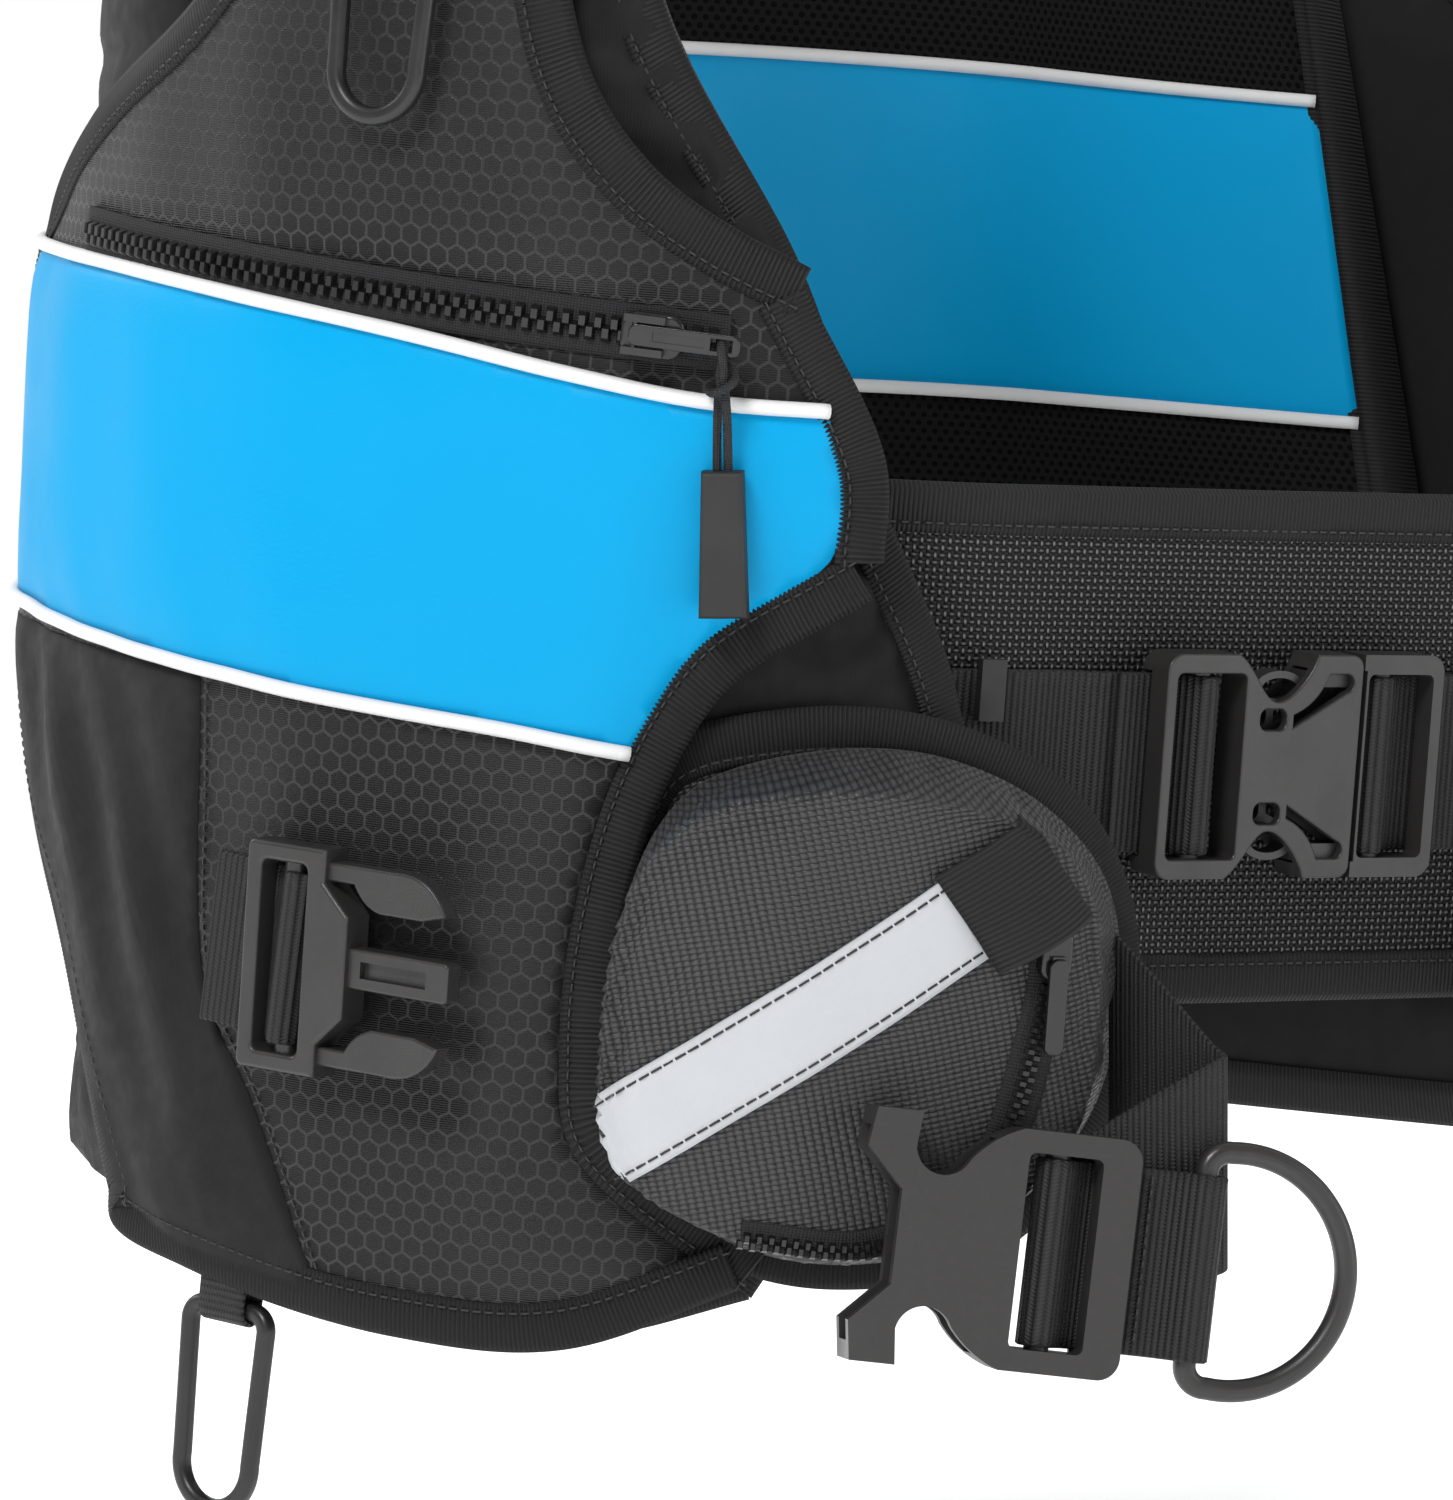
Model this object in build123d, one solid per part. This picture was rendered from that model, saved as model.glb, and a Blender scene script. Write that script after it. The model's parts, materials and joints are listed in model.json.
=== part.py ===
"""Buoyancy compensator vest: an open-fronted inflatable jacket on a tank plate.

Millimetres. Everything is drawn in the vest's own frame (front towards -Y, wearer's left
towards +X, waist belt at Z = 0) and moved at export, so that the row's origin is the centre
of the tank band.  "Right" and "left" are the wearer's.
"""
from build123d import *
from math import cos, pi, radians, sin, sqrt, tan
import os

# ---- driving dimensions ---------------------------------------------------------------
WEB_W = 50.0             # harness webbing
WEB_T = 2.2
TANK_R = 92.0            # 184 mm aluminium tank
BAND_W = 50.0
BAND_T = 2.5
BODY_Y = 5.0             # the lobes' centre, from the vest's middle
LOBE_X = 92.0
LEAN = 7.5               # the front of the vest leans forward, in degrees
BELT_R = 163.0           # inner face of the cummerbund
LOBE_R = (170.0, 194.0)
POCKET_R = (197.0, 208.0)
POUCH_R = (201.0, 233.0)
SHELL_OUT = (190.0, 150.0)   # half axes of the rear shell's corners, outside
SHELL_WALL = 18.0
PAD_T = 20.0
PLATE_T = 5.0
BACK_Y = BODY_Y + SHELL_OUT[1]              # rear face of the air cell
PLATE_Y = BACK_Y + 1.0 + PLATE_T            # rear face of the tank plate
TANK_Y = PLATE_Y + 9.0 + TANK_R             # tank axis
TANK_Z = 120.0                              # middle of the tank band
SHELL_FRONT_Y = -14.0                       # where the rear shell ends and the lobes begin
CUMMERBUND_H = (-49.0, 94.0)
BELT_H = 19.5            # middle of the waist belt, up the leaning front
SEAM_X = 75.0                               # where the two cummerbund halves meet

FRONT = Plane(origin=(0, BODY_Y, 0), x_dir=(1, 0, 0),
              z_dir=(0, -sin(radians(LEAN)), cos(radians(LEAN))))
TO_ROW = Location((0, -TANK_Y, -TANK_Z))


# ---- helpers --------------------------------------------------------------------------
def around(radius, phi, centre_x=-LOBE_X):
    """A point of the leaning front frame; phi is 0 straight ahead and -90 at the right side."""
    return (centre_x + radius * sin(radians(phi)), -radius * cos(radians(phi)))


def prism(edges, low, high):
    return Pos(0, 0, low) * extrude(Face(Wire(edges)), high - low, dir=(0, 0, 1))


def wall(r_in, r_out, phi_a, phi_b, low, high):
    """A curved upright wall of the right lobe, in the leaning front frame."""
    mid = (phi_a + phi_b) / 2
    edges = [
        ThreePointArc(around(r_out, phi_a), around(r_out, mid), around(r_out, phi_b)),
        Line(around(r_out, phi_b), around(r_in, phi_b)),
        ThreePointArc(around(r_in, phi_b), around(r_in, mid), around(r_in, phi_a)),
        Line(around(r_in, phi_a), around(r_out, phi_a)),
    ]
    return prism(edges, low, high)


def facing(phi, radius=0.0, height=0.0, turn=0.0):
    """A plane on the right lobe: Z is the outward normal, X runs round towards the front."""
    x, y = around(radius, phi)
    out = (sin(radians(phi)), -cos(radians(phi)), 0)
    along = (cos(radians(phi)), sin(radians(phi)), 0)
    plane = Plane(origin=(x, y, height), x_dir=along, z_dir=out)
    return plane.rotated((0, 0, turn)) if turn else plane


def outline(curves, phi_mid, radius):
    """A cutter whose edge runs through lists of (phi, height); two points make a straight edge."""
    edges = []
    for curve in curves:
        flat = [(radius * sin(radians(phi - phi_mid)), h) for phi, h in curve]
        edges.append(Line(*flat) if len(flat) == 2 else Spline(*flat))
    cutter = extrude(Face(Wire(edges)), 90, both=True)
    return facing(phi_mid, radius).location * cutter


def lean(shape):
    return FRONT.location * shape


def mirrored(shape):
    return shape.mirror(Plane.YZ)


def soften(shape, edges, radius):
    """Rounds the edges, or leaves them sharp where the radius doesn't fit."""
    for size in (radius, radius / 2):
        try:
            rounded = fillet(edges, size)
            if rounded.is_valid and 0.6 * shape.volume < rounded.volume < 1.02 * shape.volume:
                return rounded
        except Exception:
            continue
    return shape


def slab(face, thickness, edge=0.0):
    """A flat plate from a face in XY, centred on Z = 0, with its face edges rounded."""
    plate = extrude(face, thickness / 2, both=True)
    if not edge:
        return plate
    rims = plate.edges().filter_by(lambda e: abs(abs(e.center().Z) - thickness / 2) < 1e-4)
    return soften(plate, rims, edge)


def ring_of(hole, wire, thick):
    """A closed ring round the outline of a hole, its section rounded almost to a circle."""
    hole = fillet(hole.vertices(), 0.5 * wire)
    return slab(offset(hole, wire) - hole, thick, 0.42 * min(wire, thick))


parts = {}


def keep(name, *shapes):
    parts[name] = [TO_ROW * s for shape in shapes for s in shape.solids()]


def keep_pair(name, shape):
    keep("right_" + name, shape)
    keep("left_" + name, mirrored(shape))


# ---- rear shell, pad and tank plate ------------------------------------------------------
def stadium(half_x, half_y):
    corner = Ellipse(half_x, half_y)
    middle = Pos(0, BODY_Y) * Rectangle(2 * LOBE_X, 2 * half_y)
    return Pos(-LOBE_X, BODY_Y) * corner + Pos(LOBE_X, BODY_Y) * corner + middle


def shell_band(inset, thickness, front_y, low, high):
    """A curved upright band that follows the rear shell, inset from its outer face."""
    x, y = SHELL_OUT
    band = stadium(x - inset, y - inset) - stadium(x - inset - thickness, y - inset - thickness)
    keep_side = Pos(0, front_y + 200) * Rectangle(700, 400)
    return Pos(0, 0, low) * extrude(band & keep_side, high - low)


def from_behind(half):
    """A cutter along Y from the right half of an outline in X and Z, closed by symmetry."""
    edges = []
    for curve in half:
        edges.append(Line(*curve) if len(curve) == 2 else Spline(*curve))
    left = [e.mirror(Plane.YZ) for e in edges]
    face = Face(Wire(edges + left))
    return extrude(Plane.XZ * face, 300, both=True)


SHELL_HEM = [(0, -100), (-160, -114), (-300, -130)]
SHELL_TOP = [(-300, 225), (-268, 240), (-215, 320), (-160, 396)]
SHELL_NECK = [(-90, 396), (-50, 366), (0, 355)]
PAD_FRONT_Y = 96.0                  # where the back pad ends at the wearer's sides
PAD_Z = (-60.0, 340.0)
BACK_BAND_FRONT_Y = 102.0
BACK_BAND_Z = (116.0, 220.0)
BACK_BAND_T = 1.6


def make_back():
    shell = shell_band(0, SHELL_WALL, SHELL_FRONT_Y, -140, 400)
    shell &= from_behind([SHELL_HEM, [SHELL_HEM[-1], SHELL_TOP[0]], SHELL_TOP,
                          [SHELL_TOP[-1], SHELL_NECK[0]], SHELL_NECK])
    valve = valve_plane().location
    shell -= valve * Pos(0, 0, 1) * Cylinder(VALVE_R + 0.2, 8)
    shell -= PORT_PLANE.location * Cylinder(19.2, 10)
    keep("back_bladder", shell)

    keep("back_pad", shell_band(SHELL_WALL + 1, PAD_T, PAD_FRONT_Y, *PAD_Z))
    band_inset = SHELL_WALL + 1 + PAD_T + 0.3
    band = shell_band(band_inset, BACK_BAND_T, BACK_BAND_FRONT_Y, *BACK_BAND_Z)
    keep("back_band_panel", band)


VALVE_R = 24.0


def valve_plane():
    """The rear air valve sits low on the right rear corner of the shell."""
    turn = radians(55)
    x, y = SHELL_OUT
    point = (-LOBE_X - x * cos(turn), BODY_Y + y * sin(turn), -58)
    return Plane(origin=point, x_dir=(0, 0, 1), z_dir=(-cos(turn) / x, sin(turn) / y, 0))


def make_valve():
    at = valve_plane().location
    body = Pos(0, 0, 1) * Cylinder(VALVE_R, 8) + Pos(0, 0, 7) * Cylinder(VALVE_R - 3, 4)
    body -= Pos(0, 0, 4) * Cylinder(12, 10)
    for step in range(8):
        body -= Rot(0, 0, 45 * step) * Pos(16.5, 0, 8) * Cylinder(2.2, 4)
    keep("dump_valve_body", at * body)
    knob = Pos(0, 0, 9) * Cylinder(11.4, 19)
    knob += Pos(0, 0, 15.5) * Cylinder(15, 6)
    rim = knob.edges().filter_by(GeomType.CIRCLE).sort_by(Axis.Z)[-1]
    knob = soften(knob, [rim], 2)
    keep("dump_valve_knob", at * knob)


PLATE_LOW, PLATE_HIGH = -40.0, 300.0
PLATE_HALF_W = 92.0
CRADLE_R = TANK_R + 0.4


def band_channel():
    """The room that the tank band needs on its way round the tank."""
    return Pos(0, TANK_Y, TANK_Z) * Cylinder(TANK_R + BAND_T + 0.6, BAND_W + 4)


def make_plate():
    mid, height = (PLATE_LOW + PLATE_HIGH) / 2, PLATE_HIGH - PLATE_LOW
    face = RectangleRounded(2 * PLATE_HALF_W, height, 38)
    for side in (-1, 1):
        face -= Pos(side * (PLATE_HALF_W + 42), 30) * Ellipse(62, 60)
        face -= Pos(side * 68, 128) * SlotOverall(46, 8)
        face -= Pos(side * 62, -132) * SlotOverall(46, 8)
    face -= Pos(0, 134) * SlotOverall(58, 10)
    face -= Pos(0, -66) * RectangleRounded(46, 40, 12)
    plate = extrude(face, PLATE_T)
    rails = Pos(0, 0, PLATE_T) * extrude(Pos(-50, -6) * RectangleRounded(22, 250, 8), 24)
    rails += Pos(0, 0, PLATE_T) * extrude(Pos(50, -6) * RectangleRounded(22, 250, 8), 24)
    # the sketch plane looks at the plate from behind: X is reversed, Y is up
    behind = Plane(origin=(0, PLATE_Y - PLATE_T, mid), x_dir=(-1, 0, 0), z_dir=(0, 1, 0))
    body = behind.location * (plate + rails)
    body -= Pos(0, TANK_Y, 100) * Cylinder(CRADLE_R, 700)
    body -= band_channel()
    keep("backplate", body)

    pad = Pos(0, (PLATE_Y + TANK_Y) / 2, 60) * Box(62, TANK_Y - PLATE_Y, 150)
    pad -= Pos(0, TANK_Y, 60) * Cylinder(CRADLE_R, 200)
    pad &= Pos(0, PLATE_Y + 10, 60) * Box(62, 20, 150)
    pad -= band_channel()
    keep("tank_pad", pad)


def make_handle():
    path = Wire([Line((-62, 288), (-62, 318)),
                 ThreePointArc((-62, 318), (-52, 338), (-32, 344)),
                 Line((-32, 344), (32, 344)),
                 ThreePointArc((32, 344), (52, 338), (62, 318)),
                 Line((62, 318), (62, 288))])
    grip = extrude(Plane.XZ * make_face(offset(path, 7, side=Side.BOTH).edges()), 8)
    keep("grab_handle", Pos(0, PLATE_Y + 8.3, 0) * grip)


# ---- tank band ---------------------------------------------------------------------------
CAM_ANGLE = 62.0        # where the cam buckle sits, round from straight behind the tank
LEVER_SWING = 130.0


def tank_ring(r_in, r_out, height):
    return Pos(0, TANK_Y, TANK_Z) * (Cylinder(r_out, height) - Cylinder(r_in, height))


def cam_frame():
    """A plane on the tank band: Z points away from the tank, X runs round it, Y is up."""
    turn = radians(CAM_ANGLE)
    radius = TANK_R + BAND_T
    out = (-sin(turn), cos(turn), 0)
    return Plane(origin=(radius * out[0], TANK_Y + radius * out[1], TANK_Z),
                 x_dir=(-cos(turn), -sin(turn), 0), z_dir=out)


CAM_PIN = (-26.0, 11.0)      # the lever's pin, along the band and out from it


def make_band():
    keep("tank_band", tank_ring(TANK_R, TANK_R + BAND_T, BAND_W))
    at = cam_frame().location
    pin_at = Pos(CAM_PIN[0], 0, CAM_PIN[1]) * Rot(90, 0, 0)
    base = Pos(0, 0, 4.6) * Box(70, 62, 8)
    base -= Pos(-7.5, 0, 5) * Box(53, 52, 20)
    for side in (-1, 1):
        base += Pos(CAM_PIN[0], side * 28.6, 11.5) * Box(16, 4.8, 12)
    base += pin_at * Cylinder(2.5, 60)
    # its underside is hollowed to sit on the band
    base -= at.inverse() * Pos(0, TANK_Y, TANK_Z) * Cylinder(TANK_R + BAND_T + 0.3, 90)
    keep("cam_buckle", at * base)
    lever = pin_at * Cylinder(6, 51)
    lever += Pos(CAM_PIN[0] + 36, 0, CAM_PIN[1] + 4) * Box(72, 51, 4)
    lever -= Pos(CAM_PIN[0] + 22, 0, CAM_PIN[1] + 4) * Box(14, 34, 20)
    lever -= pin_at * Cylinder(2.56, 80)
    keep("cam_lever", at * lever)


# ---- side-release buckles ----------------------------------------------------------------
# Drawn flat: X runs from the webbing end to the mouth or the prongs, Z out from the wearer.
BUCKLE_T = 13.0
CAVITY_T = 7.4
PLUG_T = 6.6
BAR_R = 3.4
BAR_GAP = 0.3
SLOT_HALF = 26.0
LAYERS = (-6.4, -2.0)       # where the doubled webbing runs, under the frame's rear bar
HOOK_BAR = 21.5             # each buckle's bar, from its rear edge
CONTOUR_BAR = 15.0
CONTOUR_PLUG_BAR = 19.0
CLIP_BAR = 13.4
HOOK_MATED = 103.0          # overall length with the plug home
CONTOUR_MATED = 96.0


def upper_and_lower(edges):
    """Closes an outline from its upper half, which starts and ends on the X axis."""
    return Face(Wire(edges + [e.mirror(Plane.XZ) for e in edges]))


def framed(face, thick, edge, slot, bar_x):
    """A buckle body with its webbing slot, the bar across it, and room under the rear bar."""
    start, end = slot
    hole = Pos((start + end) / 2, 0) * RectangleRounded(end - start, 2 * SLOT_HALF, 2)
    body = slab(face - hole, thick, edge)
    body -= Pos(start / 2, 0, LAYERS[1] + 0.4 - 5) * Box(start + 4, 2 * SLOT_HALF, 10)
    return body + Pos(bar_x, 0, 0) * Rot(90, 0, 0) * Cylinder(BAR_R, 2 * SLOT_HALF + 2)


def hooked_socket():
    """The strap's socket: a wide rear frame, and two splayed ears past U-shaped notches."""
    half = [
        Line((0, 0), (0, 26)),
        ThreePointArc((0, 26), (1.8, 30.2), (6, 32)),
        Line((6, 32), (33, 32)),
        Spline((33, 32), (40, 28.5), (47, 22)),
        ThreePointArc((47, 22), (55.5, 17.5), (62, 24)),
        Line((62, 24), (61, 33.5)),
        Line((61, 33.5), (73.5, 33.5)),
        Line((73.5, 33.5), (75, 23)),
        Line((75, 23), (64.5, 12.5)),
        Line((64.5, 12.5), (64.5, 0)),
    ]
    body = framed(upper_and_lower(half), BUCKLE_T, 1.4, (10.5, 31), HOOK_BAR)
    return body - Pos(56.5, 0, 0) * Box(45, 57, CAVITY_T)


def contour_socket():
    """The waist socket: its sides dip in a concave curve, and its face has two pairs of windows."""
    half = [
        Line((0, 0), (0, 26)),
        ThreePointArc((0, 26), (1.5, 30), (5, 31.5)),
        Line((5, 31.5), (24, 31.5)),
        Spline((24, 31.5), (29, 27), (38, 18.2), (46, 23), (51, 31.5)),
        Line((51, 31.5), (63, 31.5)),
        ThreePointArc((63, 31.5), (66, 30.2), (67, 27)),
        Line((67, 27), (67, 0)),
    ]
    face = upper_and_lower(half)
    for side in (-1, 1):
        face -= Pos(37, side * 13.2) * RectangleRounded(9, 6, 2.4)
        window = [Line((44, side * 11), (62, side * 21)),
                  ThreePointArc((62, side * 21), (64, side * 24), (61, side * 26)),
                  Line((61, side * 26), (55.5, side * 26)),
                  Spline((55.5, side * 26), (50, side * 18), (44, side * 14.5)),
                  Line((44, side * 14.5), (44, side * 11))]
        face -= Face(Wire(window))
    body = framed(face, BUCKLE_T, 1.4, (3.5, 27), CONTOUR_BAR)
    return body - Pos(50, 0, 0) * Box(42, 55, CAVITY_T)


def prong(side, reach, head):
    """One springy arm of a plug: a thin root and a wedge-shaped head."""
    outer, inner, root = 27.6, 27.6 - head, 22.5
    edges = [
        Line((24, side * root), (24, side * outer)),
        Line((24, side * outer), (reach - 18, side * outer)),
        Spline((reach - 18, side * outer), (reach - 6, side * (outer - 2.5)),
               (reach, side * (inner + 2))),
        Line((reach, side * (inner + 2)), (reach - 8, side * inner)),
        Line((reach - 8, side * inner), (reach - 22, side * inner)),
        Spline((reach - 22, side * inner), (reach - 28, side * (inner + 3)), (reach - 31, side * root)),
        Line((reach - 31, side * root), (24, side * root)),
    ]
    return Face(Wire(edges))


def clip_plug():
    """The pocket's plug: rear frame, bevelled body, guide tongue and two prongs."""
    half = [
        Line((0, 0), (0, 29)),
        ThreePointArc((0, 29), (0.8, 30.6), (3, 31)),
        Line((3, 31), (26.5, 31)),
        Line((26.5, 31), (26.5, 22)),
        Line((26.5, 22), (35, 14)),
        Line((35, 14), (35, 0)),
    ]
    body = framed(upper_and_lower(half), 11, 1.2, (5, 20.5), CLIP_BAR)
    body += slab(prong(1, 66, 12), PLUG_T, 0.8)
    body += slab(prong(-1, 66, 12), PLUG_T, 0.8)
    tongue = slab(Pos(51, 0) * RectangleRounded(34, 11, 1.5), PLUG_T, 0.8)
    tongue -= Pos(50, 0, 2.6) * Box(22, 4.5, 3)
    return body + tongue


def contour_plug():
    """The waist plug: rear frame and two arms whose eye-shaped buttons show at the sides."""
    rear = [
        Line((0, 0), (0, 26)),
        ThreePointArc((0, 26), (1.5, 30), (5, 31.5)),
        Line((5, 31.5), (28, 31.5)),
        Line((28, 31.5), (28, 27)),
        Line((28, 27), (27, 27)),
        Line((27, 27), (27, 0)),
    ]
    body = framed(upper_and_lower(rear), 11, 1.2, (3.5, 26.2), CONTOUR_PLUG_BAR)
    arms = Pos(28.4, 0) * Rectangle(4.4, 53) + Pos(41, 0) * RectangleRounded(28, 10, 2)
    for side in (-1, 1):
        arms += Pos(38, side * 24.4) * Rectangle(19, 4.6)
        arms += Pos(55.6, side * 21.6) * (Ellipse(8.6, 5.0) - Ellipse(6.2, 3.0))
    return body + slab(arms, PLUG_T, 0.8)


def webbing_loop(length, width=WEB_W):
    """Webbing turned round a bar at the origin, both layers running back together."""
    low, high = LAYERS
    loop = Rot(90, 0, 0) * Cylinder(BAR_R + BAR_GAP + WEB_T, width)
    loop += Pos(-length / 2, 0, (low + high) / 2) * Box(length, width, high - low)
    return loop - Rot(90, 0, 0) * Cylinder(BAR_R + BAR_GAP, width + 2)


# ---- front lobes and pockets ---------------------------------------------------------------
# Outlines are lists of (phi, height) on the lobe.
LOBE_FRONT = [(-26, -128), (-14, -60), (-10, 0), (-12, 40), (-20, 92), (-28, 152), (-41, 220), (-47, 300)]
LOBE_ARM = [(-67, 300), (-76, 245), (-90, 205), (-106, 180)]
LOBE_HEM = [(-106, -122), (-84, -130), (-54, -143), (-40, -142), (-26, -128)]
POCKET_EDGE_LOW = [(-27.5, -122), (-40.5, -88), (-42, -60), (-41.4, -20), (-38.7, 18), (-33.7, 49), (-23, 76)]
POCKET_EDGE_HIGH = [(-23, 76), (-22.5, 100), (-28, 147)]
POCKET_NECK = [(-28, 147), (-34, 156), (-40.5, 170), (-46, 192), (-49, 218), (-51, 262)]
POCKET_ARM = [(-70, 262), (-82, 211), (-96, 181), (-116, 139)]
POCKET_SIDE = [(-116, 139), (-117, 80), (-114, 20), (-94, -59), (-84, -121)]
POCKET_HEM = [(-84, -121), (-83.5, -129), (-74, -136), (-54, -144), (-40.6, -142), (-27.5, -122)]


def make_lobe():
    body = wall(*LOBE_R, -106, -8, -150, 305)
    body &= outline([LOBE_FRONT, [LOBE_FRONT[-1], LOBE_ARM[0]], LOBE_ARM,
                     [LOBE_ARM[-1], LOBE_HEM[0]], LOBE_HEM], -55, LOBE_R[1])
    body = lean(body)
    # the lobe starts where the rear shell ends
    body &= Pos(0, SHELL_FRONT_Y - 1.5 - 200, 0) * Box(800, 400, 900)
    keep_pair("lobe", body)


def band_outline():
    return outline([BAND_LOW, BAND_FRONT, BAND_HIGH, [BAND_HIGH[-1], BAND_LOW[0]]],
                   -70, POCKET_R[1])


def make_pocket():
    body = wall(*POCKET_R, -119, -20, -150, 265)
    body &= outline([POCKET_EDGE_LOW, POCKET_EDGE_HIGH, POCKET_NECK,
                     [POCKET_NECK[-1], POCKET_ARM[0]], POCKET_ARM,
                     POCKET_SIDE, POCKET_HEM], -70, POCKET_R[1])
    body -= wall(PANEL_IN - 0.3, 260, -125, -15, -10, 170) & band_outline()
    body -= zip_track(ZIP_BED)
    keep_pair("pocket", lean(body))


PANEL_IN = 206.4
BAND_LOW = [(-114.5, 38), (-78.5, 31), (-48, 24), (-38.4, 20)]
BAND_FRONT = [(-38.4, 20), (-33.7, 49), (-24.3, 76), (-24.0, 114)]
BAND_HIGH = [(-24.0, 114), (-35, 115), (-58, 126), (-88, 134), (-116, 137)]


def make_band_panel():
    panel = wall(PANEL_IN, POCKET_R[1] + 0.6, -118, -20, -10, 170) & band_outline()
    panel = lean(panel)
    keep("pocket_band_panels", panel, mirrored(panel))


# ---- zips ------------------------------------------------------------------------------------
ZIP_PHI = (-95.0, -33.0)    # where the chain starts and ends
ZIP_CENTRE = 138.0
ZIP_TILT = 3.4              # the track drops towards the front, in degrees
ZIP_SLIDER_PHI = -38.5
ZIP_TRAVEL = 52.0
ZIP_BED = (7.5, 2.5)        # half height and depth of the groove that holds the tape


def zip_axis():
    """The axis, in the leaning frame, that the slider turns about as it follows its track."""
    drop = radians(ZIP_TILT)
    toward = radians(-66.0)
    # heights rise along the tangent that points back round the side
    back = (-cos(toward), -sin(toward))
    return (-sin(drop) * back[0], -sin(drop) * back[1], cos(drop))


def zip_frame():
    return Plane(origin=(-LOBE_X, 0, ZIP_CENTRE), x_dir=(zip_axis()[2], 0, -zip_axis()[0]),
                 z_dir=zip_axis())


def zip_sector(r_in, r_out, phi_a, phi_b, half):
    mid = (phi_a + phi_b) / 2
    edges = [
        ThreePointArc(around(r_out, phi_a, 0), around(r_out, mid, 0), around(r_out, phi_b, 0)),
        Line(around(r_out, phi_b, 0), around(r_in, phi_b, 0)),
        ThreePointArc(around(r_in, phi_b, 0), around(r_in, mid, 0), around(r_in, phi_a, 0)),
        Line(around(r_in, phi_a, 0), around(r_out, phi_a, 0)),
    ]
    return zip_frame().location * prism(edges, -half, half)


def zip_track(bed):
    half, depth = bed
    return zip_sector(POCKET_R[1] - depth, POCKET_R[1] + 20, ZIP_PHI[0] - 1, ZIP_PHI[1] + 1, half)


def zip_chain():
    return zip_sector(POCKET_R[1] - 2.2, POCKET_R[1] + 0.8, *ZIP_PHI, 3.2)


def on_zip(phi, radius):
    """A plane on the zip track: Z outward, X along the track towards the front."""
    x, y = around(radius, phi, 0)
    local = Plane(origin=(x, y, 0), x_dir=(cos(radians(phi)), sin(radians(phi)), 0),
                  z_dir=(sin(radians(phi)), -cos(radians(phi)), 0))
    return FRONT.location * zip_frame().location * local.location


SLIDER_LIFT = 3.4           # slider body's middle above the chain's radius
TAB_LENGTH = 30.0
TAB_PIN = -4.5              # the tab's pin, along the slider
TAB_LIFT = 4.2              # and above its middle


def make_zips():
    chain = lean(zip_chain())
    keep("zip_chains", chain, mirrored(chain))
    at = on_zip(ZIP_SLIDER_PHI, POCKET_R[1] + SLIDER_LIFT)
    body = slab(RectangleRounded(17, 12, 4), 4, 1.2)
    for side in (-1, 1):
        body += Pos(-2, side * 4.4, 3.6) * Box(11, 2, 4)
    body += Pos(TAB_PIN, 0, TAB_LIFT) * Rot(90, 0, 0) * Cylinder(0.8, 10)
    keep_pair("zip_slider", at * body)
    tab = slab(Pos(TAB_LENGTH / 2 - 1.5, 0) * RectangleRounded(TAB_LENGTH, 6, 2.2), 2.2, 0.5)
    tab -= Pos(TAB_LENGTH - 6.5, 0, 0) * Box(6, 3.4, 6)
    tab -= Pos(12, 0, 1.2) * Box(14, 2.6, 1.4)
    tab = Pos(TAB_PIN, 0, TAB_LIFT) * (tab - Rot(90, 0, 0) * Cylinder(0.86, 20))
    keep_pair("zip_tab", at * tab)


# ---- zip pull: cord and toggle --------------------------------------------------------------
# The doubled cord goes up behind the tab's lower rail, through its eye and down in front.
# Each point is across the tab, up from its eye, and out from the vest.
CORD_D = 2.4
CORD_ROUTE = [(-0.6, -33.0, -1.7), (-0.9, -21.0, -2.2), (-0.3, -8.0, -3.0), (0.0, 0.4, -2.6),
              (0.0, 0.4, 2.6), (0.3, -8.0, 3.0), (0.9, -21.0, 2.2), (0.6, -33.0, 1.7)]
TOGGLE = (13.0, 39.0, 8.0)
PULL_LEAN = 3.9             # straight down, seen in the lobe's face, in degrees


def pull_frame():
    """At the tab's eye: Y up, Z outward, X round towards the front; -Y is straight down."""
    at = on_zip(ZIP_SLIDER_PHI, POCKET_R[1] + SLIDER_LIFT) * Pos(TAB_LENGTH - 11, 0, TAB_LIFT)
    return at * Rot(0, 0, ZIP_TILT + PULL_LEAN)


def bend_radii(points):
    """The largest bend at each corner that leaves a straight stretch between the bends."""
    radii = []
    for before, corner, after in zip(points, points[1:], points[2:]):
        first, second = Vector(*corner) - Vector(*before), Vector(*after) - Vector(*corner)
        half_turn = radians(first.get_angle(second) / 2)
        radii.append(0.45 * min(first.length, second.length) / tan(half_turn))
    return radii


def make_pull():
    at = pull_frame()
    radii = bend_radii(CORD_ROUTE)
    path = FilletPolyline(*CORD_ROUTE, radius=radii)
    cord = sweep(Plane(origin=path @ 0, z_dir=path % 0) * Circle(CORD_D / 2), path=path)
    print("cord radii", [round(r, 1) for r in radii], "length", round(path.length, 1),
          "volume over section times length", cord.volume / path.length / (CORD_D / 2) ** 2 / pi)
    keep_pair("pull_cord", at * cord)
    wide, tall, thick = TOGGLE
    taper = Polyline((-wide / 2 + 1, 0), (wide / 2 - 1, 0), (wide / 2, -tall), (-wide / 2, -tall),
                     close=True)
    toggle = slab(make_face(taper.edges()), thick, 1.4)
    keep_pair("pull_toggle", at * Pos(0, CORD_ROUTE[0][1] - 0.05, 0) * toggle)


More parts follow.
